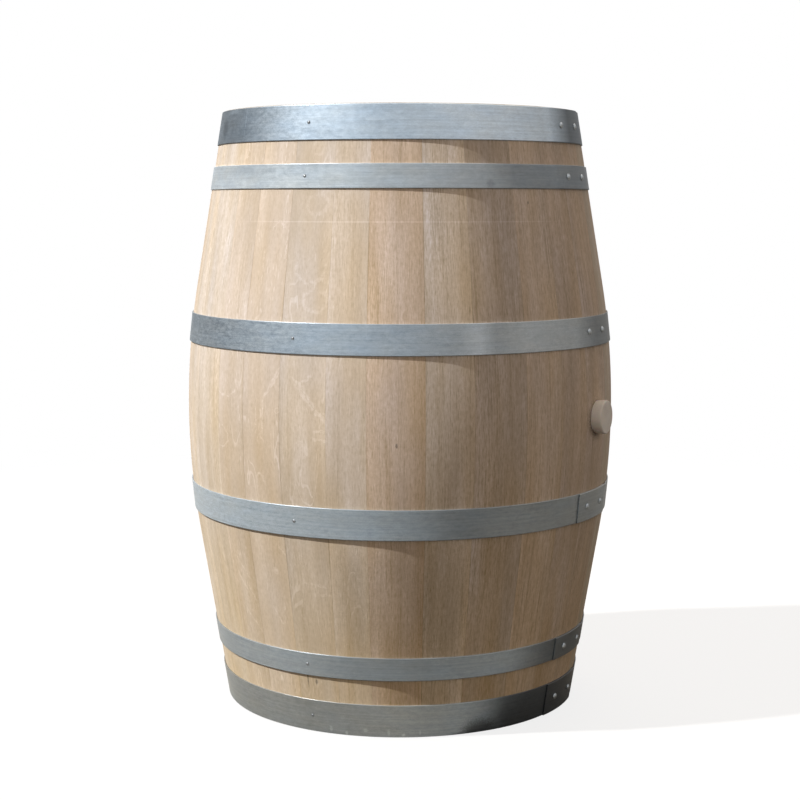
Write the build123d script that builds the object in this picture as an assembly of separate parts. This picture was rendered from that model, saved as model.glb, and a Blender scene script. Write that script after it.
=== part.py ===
from build123d import *
from math import asin, atan, copysign, cos, degrees, radians, sin, sqrt, tan
import os

# Oak wine barrel of 225 litres, standing on one head, with its bung at mid-height.
# Sizes are millimetres. The origin is on the barrel's axis, in the plane that it stands on.
# Angles are degrees about +Z, counted from +X, and the bung and the hoops' laps lie at angle 0.
# A height called up is counted from mid-height, and depth is counted inwards from the outer
# face of the staves.

# Barrel
HEIGHT = 950.0
BILGE_DIAMETER = 693.0
CHIME_DIAMETER = 568.0
STRAIGHT_END = 276.0  # height of the unbent stretch at each end of a stave

# Staves, with their widths along the bilge from the bung stave round by -Y
STAVE_THICKNESS = 27.0
STAVE_WIDTHS = (
    78.6, 66.5, 73.2, 88.3, 73.8, 87.1, 61.1, 76.8, 72.6, 61.1,
    76.0, 68.0, 82.0, 59.0, 74.0, 88.0, 66.0, 71.0, 81.0, 62.0,
    77.0, 69.0, 84.0, 64.0, 73.0, 78.0, 58.0, 75.0, 70.0, 63.0,
)
CHIME_FLAT = 13.0  # width of a stave's flat end
CHIME_BEVEL = 15.0  # height of the bevel inside that end

# Heads, with the widths of their boards from -Y to +Y
HEAD_RECESS = 35.0  # from the stave ends to the head's outer face
HEAD_THICKNESS = 22.0
HEAD_BEVEL = 28.0  # width of the bevel round the outer face
TONGUE_THICKNESS = 6.0
TONGUE_INSET = 4.0  # from the head's inner face to the tongue
TONGUE_MARGIN = 2.0  # width of the tongue left outside the croze
CROZE_DEPTH = 5.0
CROZE_CLEARANCE = 0.2
BOARD_WIDTHS = (82.0, 94.0, 88.0, 97.0, 90.0, 86.0)
RUSH_THICKNESS = 0.8
DOWEL_DIAMETER = 8.0
DOWEL_LENGTH = 40.0
DOWEL_SETBACK = 90.0  # from the rim end of a joint to its dowel
DOWEL_CLEARANCE = 0.1

# Hoops: each inset is from the nearer end of the barrel to the hoop's edge
HOOP_THICKNESS = 1.8
HOOP_CLEARANCE = 0.05
HEAD_HOOP_WIDTH = 52.5
QUARTER_HOOP_WIDTH = 36.6
BILGE_HOOP_WIDTH = 46.3
HEAD_HOOP_INSET = 1.0
UPPER_QUARTER_INSET = 87.3
LOWER_QUARTER_INSET = 93.0
UPPER_BILGE_INSET = 318.0
LOWER_BILGE_INSET = 314.5
LAP_END = 27.0  # from a rivet to the end of the strip
JOGGLE_LENGTH = 22.0  # length in which the strip steps up over itself
STRIP_GAP = 2.0  # from the strip's inner end to that step

# Rivets and nails
RIVET_PITCH = 55.0
RIVET_DIAMETER = 5.0
RIVET_HEAD_DIAMETER = 10.0
RIVET_HEAD_HEIGHT = 3.5
RIVET_TAIL_DIAMETER = 7.6
RIVET_TAIL_HEIGHT = 1.3
RIVET_CLEARANCE = 0.05
NAIL_ANGLES = (-90.0, 90.0, 180.0)
NAIL_DIAMETER = 2.2
NAIL_LENGTH = 15.0
NAIL_POINT = 4.0
NAIL_HEAD_DIAMETER = 5.0
NAIL_HEAD_HEIGHT = 1.5
NAIL_CLEARANCE = 0.05
NAIL_REACH = 1.0  # degrees on either side of a nail that its hole may touch

# Bung
BUNG_LENGTH = 48.0
BUNG_PROUD = 16.0  # how far it stands out of the bilge
BUNG_OUTER_DIAMETER = 53.5
BUNG_INNER_DIAMETER = 47.5
BUNG_OUTER_EDGE = 2.5
BUNG_INNER_EDGE = 1.5
BUNG_CLEARANCE = 0.1

CUT_MARGIN = 5.0  # how far a cutting tool runs past what it cuts

MID_HEIGHT = HEIGHT / 2
BILGE_RADIUS = BILGE_DIAMETER / 2
CHIME_RADIUS = CHIME_DIAMETER / 2
BEND_HALF_HEIGHT = MID_HEIGHT - STRAIGHT_END
TOP = 1
BOTTOM = -1


def end_lean():
    """The angle in radians by which a stave leans at its ends.

    With t as the tangent of half that angle, the bend falls by BEND_HALF_HEIGHT * t, and the
    straight end by STRAIGHT_END * 2 * t / (1 - t * t). Both together take the stave from the
    bilge to the chime, and repeated substitution solves that for t.
    """
    fall = BILGE_RADIUS - CHIME_RADIUS
    t = 0.0
    for _ in range(40):
        t = fall / (BEND_HALF_HEIGHT + 2 * STRAIGHT_END / (1 - t * t))
    return 2 * atan(t)


END_LEAN = end_lean()
BEND_RADIUS = BEND_HALF_HEIGHT / sin(END_LEAN)
BEND_CENTRE = BILGE_RADIUS - BEND_RADIUS


def wall_radius(z, depth=0.0):
    """Radius of the surface at that depth in the staves, at height z."""
    up = abs(z - MID_HEIGHT)
    radius = BEND_RADIUS - depth
    if up <= radius * sin(END_LEAN):
        return BEND_CENTRE + sqrt(radius**2 - up**2)
    return BEND_CENTRE + radius / cos(END_LEAN) - up * tan(END_LEAN)


def wall_lean(z):
    """The angle in radians by which the wall's outward normal points up at height z."""
    up = z - MID_HEIGHT
    if abs(up) <= BEND_HALF_HEIGHT:
        return asin(up / BEND_RADIUS)
    return copysign(END_LEAN, up)


def wall_frame(angle, z, lift=0.0):
    """Place on the wall at that angle and height, lifted off it, with its Z facing outwards."""
    lean = wall_lean(z)
    origin = (wall_radius(z) + lift * cos(lean), 0, z + lift * sin(lean))
    facing = Plane(origin=origin, x_dir=(0, 1, 0), z_dir=(cos(lean), 0, sin(lean)))
    return Rot(0, 0, angle) * facing.location


def bend_arc(depth):
    """The bent stretch of a stave's outline at that depth, from bottom to top."""
    radius = BEND_RADIUS - depth
    reach = radius * sin(END_LEAN)
    side = BEND_CENTRE + radius * cos(END_LEAN)
    middle = BEND_CENTRE + radius
    return ThreePointArc(
        (side, 0, MID_HEIGHT - reach), (middle, 0, MID_HEIGHT), (side, 0, MID_HEIGHT + reach)
    )


def end_height(end, distance):
    """Height of a point at that distance from the barrel's top or bottom end."""
    return MID_HEIGHT + end * (MID_HEIGHT - distance)


# Places of the head in the wall, as distances from the stave ends
HEAD_INNER = HEAD_RECESS + HEAD_THICKNESS
TONGUE_INNER = HEAD_INNER - TONGUE_INSET
TONGUE_OUTER = TONGUE_INNER - TONGUE_THICKNESS
CROZE_RADIUS = wall_radius(TONGUE_INNER, STAVE_THICKNESS) + CROZE_DEPTH
HEAD_RADIUS = CROZE_RADIUS - CROZE_CLEARANCE


def end_outline(end):
    """A stave's outline round one end: flat, bevel and croze, from the outer face to the inner."""
    croze_outer = TONGUE_OUTER - CROZE_CLEARANCE
    croze_inner = TONGUE_INNER + CROZE_CLEARANCE
    inner_bend = bend_arc(STAVE_THICKNESS) @ (0.5 + 0.5 * end)
    points = [
        bend_arc(0) @ (0.5 + 0.5 * end),
        (CHIME_RADIUS, 0, end_height(end, 0)),
        (CHIME_RADIUS - CHIME_FLAT, 0, end_height(end, 0)),
    ]
    for distance in (CHIME_BEVEL, croze_outer):
        z = end_height(end, distance)
        points.append((wall_radius(z, STAVE_THICKNESS), 0, z))
    points.append((CROZE_RADIUS, 0, end_height(end, croze_outer)))
    points.append((CROZE_RADIUS, 0, end_height(end, croze_inner)))
    z = end_height(end, croze_inner)
    points.append((wall_radius(z, STAVE_THICKNESS), 0, z))
    points.append(inner_bend)
    return Polyline(*points)


def wall_section():
    """Section of the wall through a stave, in the half plane of angle 0."""
    edges = bend_arc(0).edges() + end_outline(TOP).edges()
    edges += bend_arc(STAVE_THICKNESS).edges() + end_outline(BOTTOM).edges()
    return Face(Wire(edges))


def turned(profile_points):
    """Solid of revolution about Z, from a closed outline of (radius, height) points."""
    outline = Polyline(*[(r, 0, h) for r, h in profile_points], close=True)
    return revolve(Face(Wire(outline.edges())), axis=Axis.Z)


def domed_pin(pin_points, head_radius, head_height):
    """A pin under a domed head. The head's flat underside lies at height 0."""
    foot, *rest = pin_points
    side = Polyline(*[(r, 0, h) for r, h in [foot, *rest, (head_radius, 0)]])
    sphere = (head_radius**2 + head_height**2) / (2 * head_height)
    half = asin(head_radius / sphere) / 2
    shoulder = (sphere * sin(half), 0, head_height - sphere * (1 - cos(half)))
    dome = ThreePointArc((head_radius, 0, 0), shoulder, (0, 0, head_height))
    axis = Line((0, 0, head_height), (foot[0], 0, foot[1]))
    return revolve(Face(Wire(side.edges() + dome.edges() + axis.edges())), axis=Axis.Z)


# Bung and bung hole, along the axis that faces out of the bilge at angle 0
BUNG_FRAME = wall_frame(0, MID_HEIGHT)


def bung_radius(out, clearance=0.0):
    """Radius of the bung's taper at that distance out from the bilge."""
    taper = (BUNG_OUTER_DIAMETER - BUNG_INNER_DIAMETER) / 2 / BUNG_LENGTH
    return BUNG_OUTER_DIAMETER / 2 - (BUNG_PROUD - out) * taper + clearance


def bung():
    """Tapered silicone stopper with rounded rims."""
    inner_end = BUNG_PROUD - BUNG_LENGTH
    points = [
        (0, inner_end),
        (bung_radius(inner_end), inner_end),
        (bung_radius(BUNG_PROUD), BUNG_PROUD),
        (0, BUNG_PROUD),
    ]
    stopper = turned(points)
    rims = stopper.edges().filter_by(GeomType.CIRCLE).sort_by(Axis.Z)
    stopper = fillet(rims[-1], BUNG_OUTER_EDGE)
    rims = stopper.edges().filter_by(GeomType.CIRCLE).sort_by(Axis.Z)
    return BUNG_FRAME * fillet(rims[0], BUNG_INNER_EDGE)


def bung_hole():
    """Tapered cutter for the bung hole."""
    inner = -STAVE_THICKNESS - CUT_MARGIN
    points = [
        (0, inner),
        (bung_radius(inner, BUNG_CLEARANCE), inner),
        (bung_radius(CUT_MARGIN, BUNG_CLEARANCE), CUT_MARGIN),
        (0, CUT_MARGIN),
    ]
    return BUNG_FRAME * turned(points)


# Hoops: name, end of the barrel, inset, width
HOOPS = (
    ("upper_head_hoop", TOP, HEAD_HOOP_INSET, HEAD_HOOP_WIDTH),
    ("upper_quarter_hoop", TOP, UPPER_QUARTER_INSET, QUARTER_HOOP_WIDTH),
    ("upper_bilge_hoop", TOP, UPPER_BILGE_INSET, BILGE_HOOP_WIDTH),
    ("lower_bilge_hoop", BOTTOM, LOWER_BILGE_INSET, BILGE_HOOP_WIDTH),
    ("lower_quarter_hoop", BOTTOM, LOWER_QUARTER_INSET, QUARTER_HOOP_WIDTH),
    ("lower_head_hoop", BOTTOM, HEAD_HOOP_INSET, HEAD_HOOP_WIDTH),
)
LAYER_STEP = HOOP_THICKNESS + HOOP_CLEARANCE


def hoop_height(end, inset, width):
    """Height of a hoop's middle."""
    return end_height(end, inset + width / 2)


def arc_angle(length, z):
    """The angle that a length along the wall takes up at height z."""
    return degrees(length / wall_radius(z))


def strip_section(z, width, layer):
    """Section of a hoop's strip, on the wall as layer 0 or over itself as layer 1."""
    lift = HOOP_CLEARANCE + layer * LAYER_STEP
    lean = wall_lean(z)
    frame = Plane(
        origin=(wall_radius(z) + lift * cos(lean), 0, z + lift * sin(lean)),
        x_dir=(cos(lean), 0, sin(lean)),
        z_dir=(0, -1, 0),
    )
    return frame * Rectangle(HOOP_THICKNESS, width, align=(Align.MIN, Align.CENTER))


def rivet_places(z):
    """Places of the two rivets of a lap, on the face of its outer layer."""
    lift = HOOP_CLEARANCE + LAYER_STEP + HOOP_THICKNESS
    spread = arc_angle(RIVET_PITCH / 2, z)
    return [wall_frame(angle, z, lift) for angle in (-spread, spread)]


def nail_places(z, angles=NAIL_ANGLES):
    """Places of a hoop's nails, on the face of its single layer."""
    return [wall_frame(angle, z, HOOP_CLEARANCE + HOOP_THICKNESS) for angle in angles]


def rivet_pin(clearance=0.0, overrun=0.0):
    """Outline of a rivet under its head: a shank that ends in a flush countersunk tail."""
    grip = LAYER_STEP + HOOP_THICKNESS
    tail = RIVET_TAIL_DIAMETER / 2 + clearance
    shank = RIVET_DIAMETER / 2 + clearance
    points = [(0, -grip - overrun), (tail, -grip - overrun)]
    if overrun:
        points.append((tail, -grip))
    return points + [(shank, RIVET_TAIL_HEIGHT - grip), (shank, overrun)]


def rivet():
    """Rivet with a domed head."""
    return domed_pin(rivet_pin(), RIVET_HEAD_DIAMETER / 2, RIVET_HEAD_HEIGHT)


def rivet_hole():
    """Cutter for a rivet's hole through both layers of a hoop."""
    return turned(rivet_pin(RIVET_CLEARANCE, CUT_MARGIN) + [(0, CUT_MARGIN)])


def nail():
    """Small nail with a domed head and a pointed shank."""
    shank = NAIL_DIAMETER / 2
    points = [(0, -NAIL_LENGTH), (shank, NAIL_POINT - NAIL_LENGTH), (shank, 0)]
    return domed_pin(points, NAIL_HEAD_DIAMETER / 2, NAIL_HEAD_HEIGHT)


def nail_hole():
    """Cutter for a nail's hole, through the hoop and into the wood."""
    side = NAIL_DIAMETER / 2 + NAIL_CLEARANCE
    foot = -NAIL_LENGTH - NAIL_CLEARANCE
    return turned([(0, foot), (side, foot), (side, CUT_MARGIN), (0, CUT_MARGIN)])


def hoop(end, inset, width):
    """Steel strip that goes round the barrel once, steps up and laps over its own end.

    The free end of the lap faces -Y on the lower hoops and +Y on the upper ones, because each
    hoop is driven on from its own end of the barrel.
    """
    z = hoop_height(end, inset, width)
    lap = arc_angle(RIVET_PITCH / 2 + LAP_END, z)
    step = arc_angle(JOGGLE_LENGTH, z)
    gap = arc_angle(STRIP_GAP, z)
    inner = strip_section(z, width, 0)
    outer = strip_section(z, width, 1)
    ring = revolve(Rot(0, 0, lap + step) * inner, Axis.Z, 360 - step - gap)
    joggle = loft([Rot(0, 0, lap) * outer, Rot(0, 0, lap + step) * inner], ruled=True)
    strip = ring + joggle + revolve(Rot(0, 0, -lap) * outer, Axis.Z, 2 * lap)
    if end == TOP:
        strip = mirror(strip, about=Plane.XZ)
    for place in rivet_places(z):
        strip -= place * rivet_hole()
    for place in nail_places(z):
        strip -= place * nail_hole()
    return strip


def nail_cutters(low, high):
    """Cutters for every nail hole that touches the wall between two angles."""
    angles = [a for a in NAIL_ANGLES if (a - low + NAIL_REACH) % 360 <= high - low + 2 * NAIL_REACH]
    cutters = []
    for _, end, inset, width in HOOPS:
        places = nail_places(hoop_height(end, inset, width), angles)
        cutters += [place * nail_hole() for place in places]
    return cutters


def staves():
    """The staves by name, each a slice of the wall, with the bung hole and nail holes cut."""
    section = wall_section()
    turn = 360 / sum(STAVE_WIDTHS)
    high = STAVE_WIDTHS[0] * turn / 2
    made = {}
    for number, width in enumerate(STAVE_WIDTHS, start=1):
        low = high - width * turn
        stave = revolve(Rot(0, 0, low) * section, Axis.Z, high - low) - nail_cutters(low, high)
        if number == 1:
            made["bung_stave"] = stave - bung_hole()
        else:
            made[f"stave_{number:02d}"] = stave
        high = low
    return made


def head_disc(end):
    """The whole head, with a tongue round its rim that fits the croze."""
    tongue = HEAD_RADIUS - CROZE_DEPTH - TONGUE_MARGIN
    points = [
        (0, HEAD_RECESS),
        (HEAD_RADIUS - HEAD_BEVEL, HEAD_RECESS),
        (tongue, TONGUE_OUTER),
        (HEAD_RADIUS, TONGUE_OUTER),
        (HEAD_RADIUS, TONGUE_INNER),
        (tongue, TONGUE_INNER),
        (tongue - TONGUE_INSET, HEAD_INNER),
        (0, HEAD_INNER),
    ]
    return turned([(r, end_height(end, distance)) for r, distance in points])


def slab(low, high, end):
    """Box across the whole head between two values of y."""
    middle = end_height(end, HEAD_RECESS + HEAD_THICKNESS / 2)
    size = 2 * (HEAD_RADIUS + CUT_MARGIN)
    return Pos(0, (low + high) / 2, middle) * Box(size, high - low, HEAD_THICKNESS + CUT_MARGIN)


def joint_lines():
    """The y values of the joints between the boards of a head."""
    scale = 2 * HEAD_RADIUS / sum(BOARD_WIDTHS)
    return [scale * sum(BOARD_WIDTHS[:count]) - HEAD_RADIUS for count in range(1, len(BOARD_WIDTHS))]


def dowel_places(end):
    """Places of the dowels across the joints of a head, two in each joint."""
    z = end_height(end, HEAD_RECESS + HEAD_THICKNESS / 2)
    places = []
    for y in joint_lines():
        x = sqrt(HEAD_RADIUS**2 - y**2) - DOWEL_SETBACK
        places += [Pos(side * x, y, z) * Rot(90, 0, 0) for side in (-1, 1)]
    return places


def head_parts(end, word):
    """The boards, rush strips and dowels of a head, by node name."""
    disc = head_disc(end)
    bore = Cylinder(DOWEL_DIAMETER / 2 + DOWEL_CLEARANCE, DOWEL_LENGTH + 2 * DOWEL_CLEARANCE)
    bores = [place * bore for place in dowel_places(end)]
    joints = joint_lines()
    limit = HEAD_RADIUS + CUT_MARGIN
    lows = [-limit] + [y + RUSH_THICKNESS / 2 for y in joints]
    highs = [y - RUSH_THICKNESS / 2 for y in joints] + [limit]
    made = {}
    for number, (low, high) in enumerate(zip(lows, highs), start=1):
        made[f"{word}_head_board_{number}"] = (disc & slab(low, high, end)) - bores
    half = RUSH_THICKNESS / 2
    made[f"{word}_head_rushes"] = [(disc & slab(y - half, y + half, end)) - bores for y in joints]
    pin = Cylinder(DOWEL_DIAMETER / 2, DOWEL_LENGTH)
    made[f"{word}_head_dowels"] = [place * pin for place in dowel_places(end)]
    return made


def fasteners(pin, places_on):
    """One copy of a pin at each of its places on every hoop."""
    made = []
    for _, end, inset, width in HOOPS:
        made += [place * pin for place in places_on(hoop_height(end, inset, width))]
    return made


def write(name, shape):
    """Write one node, which is a solid or a list of separate solids."""
    solids = []
    for item in shape if isinstance(shape, list) else [shape]:
        solids += item.solids()
    export_step(solids[0] if len(solids) == 1 else Compound(solids), f"parts/{name}.step")


def main():
    """Build every node and write it to the parts folder."""
    nodes = staves()
    nodes |= head_parts(TOP, "top")
    nodes |= head_parts(BOTTOM, "bottom")
    for name, end, inset, width in HOOPS:
        nodes[name] = hoop(end, inset, width)
    nodes["hoop_rivets"] = fasteners(rivet(), rivet_places)
    nodes["hoop_nails"] = fasteners(nail(), nail_places)
    nodes["bung"] = bung()
    os.makedirs("parts", exist_ok=True)
    for name, shape in nodes.items():
        write(name, shape)


main()
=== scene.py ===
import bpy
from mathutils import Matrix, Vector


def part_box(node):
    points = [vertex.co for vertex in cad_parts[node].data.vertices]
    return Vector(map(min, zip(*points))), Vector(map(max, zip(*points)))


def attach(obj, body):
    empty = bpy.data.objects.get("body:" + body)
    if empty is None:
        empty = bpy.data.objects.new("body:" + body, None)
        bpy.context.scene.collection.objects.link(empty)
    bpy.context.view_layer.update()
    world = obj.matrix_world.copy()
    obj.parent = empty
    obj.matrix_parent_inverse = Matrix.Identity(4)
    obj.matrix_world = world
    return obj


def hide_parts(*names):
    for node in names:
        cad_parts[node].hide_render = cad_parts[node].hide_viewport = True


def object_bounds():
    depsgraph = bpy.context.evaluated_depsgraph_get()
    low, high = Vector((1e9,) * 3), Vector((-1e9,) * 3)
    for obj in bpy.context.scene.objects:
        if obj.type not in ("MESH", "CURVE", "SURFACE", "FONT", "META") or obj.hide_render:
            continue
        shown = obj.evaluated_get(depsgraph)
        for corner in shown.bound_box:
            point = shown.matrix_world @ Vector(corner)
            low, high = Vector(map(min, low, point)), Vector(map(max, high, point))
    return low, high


bl_info = {
    "name": "Oak barrel",
    "version": (1, 0, 0),
    "blender": (4, 5, 0),
    "location": "View3D > Sidebar > Barrel",
    "description": "Shapes and finishes the pieces of an upright oak barrel round its CAD frame",
    "category": "Object",
}

from math import atan, cos, pi, radians, sin, tan

import bmesh
import bpy
import numpy as np
from bpy.props import FloatProperty, FloatVectorProperty, IntProperty, PointerProperty

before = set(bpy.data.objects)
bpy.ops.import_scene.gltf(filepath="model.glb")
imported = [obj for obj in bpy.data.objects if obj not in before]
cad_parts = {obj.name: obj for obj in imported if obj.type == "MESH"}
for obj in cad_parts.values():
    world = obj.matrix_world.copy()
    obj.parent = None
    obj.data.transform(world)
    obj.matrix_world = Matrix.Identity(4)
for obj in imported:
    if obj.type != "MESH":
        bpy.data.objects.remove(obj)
CAD_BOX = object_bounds()

# Sizes are metres, and angles in the functions are radians about +Z, counted from +X. The bung
# and the hoops' laps lie at angle 0. Depth is counted inwards from the outer face of the staves.
TOP = 1
BOTTOM = -1

# Wall of the barrel
STRAIGHT_END = 0.276
STAVE_THICKNESS = 0.027
CHIME_FLAT = 0.013
CHIME_BEVEL = 0.015

# Heads
HEAD_RECESS = 0.035
HEAD_THICKNESS = 0.022
HEAD_BEVEL = 0.028
TONGUE_THICKNESS = 0.006
TONGUE_INSET = 0.004
TONGUE_MARGIN = 0.002
CROZE_DEPTH = 0.005
CROZE_CLEARANCE = 0.0002

# Hoops: the end of the barrel, the inset of the hoop's edge from that end, the width, and how
# far the edge away from the bilge stands off the wood
HOOP_THICKNESS = 0.0018
HOOP_CLEARANCE = 0.00005
LAYER_STEP = HOOP_THICKNESS + HOOP_CLEARANCE
LAP_END = 0.027
JOGGLE_LENGTH = 0.022
STRIP_GAP = 0.002
HOOPS = {
    "upper_head_hoop": (TOP, 0.001, 0.0525, 0.0),
    "upper_quarter_hoop": (TOP, 0.0873, 0.0366, 0.0002),
    "upper_bilge_hoop": (TOP, 0.318, 0.0463, 0.0),
    "lower_bilge_hoop": (BOTTOM, 0.3145, 0.0463, 0.0008),
    "lower_quarter_hoop": (BOTTOM, 0.093, 0.0366, 0.0005),
    "lower_head_hoop": (BOTTOM, 0.001, 0.0525, 0.0002),
}

# Rivets and nails
RIVET_PITCH = 0.055
RIVET_RADIUS = 0.0025
RIVET_HEAD_RADIUS = 0.005
RIVET_HEAD_HEIGHT = 0.0035
RIVET_TAIL_RADIUS = 0.0038
RIVET_TAIL_HEIGHT = 0.0013
NAIL_ANGLES = (-90.0, 90.0, 180.0)
NAIL_RADIUS = 0.0011
NAIL_LENGTH = 0.015
NAIL_POINT = 0.004
NAIL_HEAD_RADIUS = 0.0025
NAIL_HEAD_HEIGHT = 0.0015
PIN_SIDES = 28
RIVET_SEED = 3
NAIL_SEED = 5

# Bung, whose outer face has a shallow dish with a small stud in its middle
BUNG_LENGTH = 0.048
BUNG_PROUD = 0.016
BUNG_OUTER_RADIUS = 0.02675
BUNG_INNER_RADIUS = 0.02375
BUNG_OUTER_EDGE = 0.0025
BUNG_INNER_EDGE = 0.0015
BUNG_CLEARANCE = 0.0001
DISH_SHARE = 0.8
STUD_RADIUS = 0.0035
STUD_TOP_RADIUS = 0.0028

# Looks of the staves by number: brightness, redness, share of ray flecks and how much brighter
# one side is than the middle
STAVE_LOOKS = {
    1: (0.93, 1.1, 0.1, 0.0),
    2: (0.95, 1.0, 0.1, 0.03),
    3: (1.10, 0.7, 0.1, -0.06),
    4: (0.96, 0.5, 0.1, -0.03),
    5: (1.10, -0.1, 0.1, 0.13),
    6: (1.00, 1.4, 0.2, 0.0),
    7: (1.10, -0.1, 0.7, 0.04),
    8: (1.00, -0.2, 0.9, 0.12),
    9: (0.98, 0.2, 1.0, 0.0),
    10: (0.95, 0.1, 0.8, -0.03),
    11: (0.97, -0.4, 0.6, 0.03),
    12: (0.98, -0.4, 0.4, 0.0),
}

# Looks of the hoops: blueness and wear, each by the nails and by the laps, and brightness at
# each of PAINTED_REFLECTION_ANGLES. That brightness is painted reflection and shade: raised
# where a hoop should mirror bright surroundings, and lowered where it should mirror dark ones
# such as the barrel's shadow on the floor. The look by the laps gives way to that by the nails
# between the two angles of BLUENESS_ANGLES and of WEAR_ANGLES.
BLUENESS_ANGLES = (30, 62)
WEAR_ANGLES = (80, 112)
PAINTED_REFLECTION_ANGLES = (-125, -105, -90, -75, -60, -48, -43, -38, -29, -12, 0, 60)
HOOP_LOOKS = {
    "upper_head_hoop": (
        (0.65, 0.5), (0.7, 0.3),
        (0.59, 0.90, 1.14, 1.30, 1.37, 1.67, 1.78, 1.78, 1.80, 1.60, 0.45, 1.20),
    ),
    "upper_quarter_hoop": (
        (0.15, 0.25), (0.3, 0.3),
        (1.80, 1.24, 0.99, 1.18, 1.20, 1.10, 1.05, 1.00, 0.67, 0.70, 0.67, 1.10),
    ),
    "upper_bilge_hoop": (
        (0.50, 0.0), (1.3, 0.4),
        (0.88, 0.88, 0.92, 1.05, 1.03, 1.02, 1.38, 0.92, 1.17, 1.06, 0.58, 1.00),
    ),
    "lower_bilge_hoop": (
        (0.6, 0.1), (0.7, 0.4),
        (1.25, 1.08, 1.00, 0.92, 0.81, 0.64, 0.68, 0.78, 0.85, 0.90, 0.92, 1.00),
    ),
    "lower_quarter_hoop": (
        (0.35, 0.3), (0.4, 0.3),
        (0.74, 0.85, 0.80, 0.68, 0.70, 0.77, 0.80, 0.86, 0.92, 0.55, 0.45, 0.85),
    ),
    "lower_head_hoop": (
        (-0.2, 0.4), (0.6, 0.4),
        (0.62, 0.68, 0.66, 0.72, 0.87, 0.85, 0.84, 0.72, 0.27, 0.26, 0.28, 0.75),
    ),
}

# Marks on the unrolled wall, real marks and some painted shade: angle in degrees, height,
# half width, half height and brightness
WOOD_MARKS_AND_PAINTED_SHADE = (
    (-63.4, 0.456, 0.0022, 0.0045, 0.45),
    (-90.6, 0.088, 0.0016, 0.0200, 0.45),
    (-87.8, 0.083, 0.0030, 0.0060, 0.45),
    (-119.5, 0.313, 0.0018, 0.0022, 0.45),
    (-114.0, 0.126, 0.0018, 0.0022, 0.45),
    (-24.5, 0.806, 0.0016, 0.0030, 0.45),
    # Painted shade: three broad soft darkenings of the wall below the lower bilge hoop
    (-74.5, 0.210, 0.0360, 0.1100, 0.85),
    (-63.8, 0.210, 0.0600, 0.1200, 0.84),
    (-50.8, 0.220, 0.0500, 0.1200, 0.85),
    # Dark halo round the bung: partly a stain round the hole, partly painted contact shadow
    (-0.5, 0.473, 0.0340, 0.0350, 0.30),
)
HOOP_SCUFFS_AND_PAINTED_SHADE = (
    (-116.5, 0.922, 0.0011, 0.0300, 1.45),
    (-132.0, 0.920, 0.0220, 0.0190, 0.66),
    (-126.0, 0.945, 0.0380, 0.0045, 1.40),
    (-36.9, 0.833, 0.0100, 0.0080, 0.80),
    (-26.5, 0.848, 0.0110, 0.0013, 1.20),
    (-84.0, 0.009, 0.0040, 0.0060, 1.35),
    (-79.0, 0.005, 0.0035, 0.0030, 1.50),
    (-73.0, 0.011, 0.0050, 0.0040, 1.30),
    (-66.0, 0.009, 0.0030, 0.0080, 1.30),
    (-61.5, 0.005, 0.0040, 0.0030, 1.45),
    (-56.5, 0.008, 0.0020, 0.0055, 1.30),
    # Painted shade: a dark patch where the lower head hoop should mirror the barrel's shadow on
    # the floor
    (-38.0, 0.003, 0.0420, 0.0260, 0.40),
)

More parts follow.
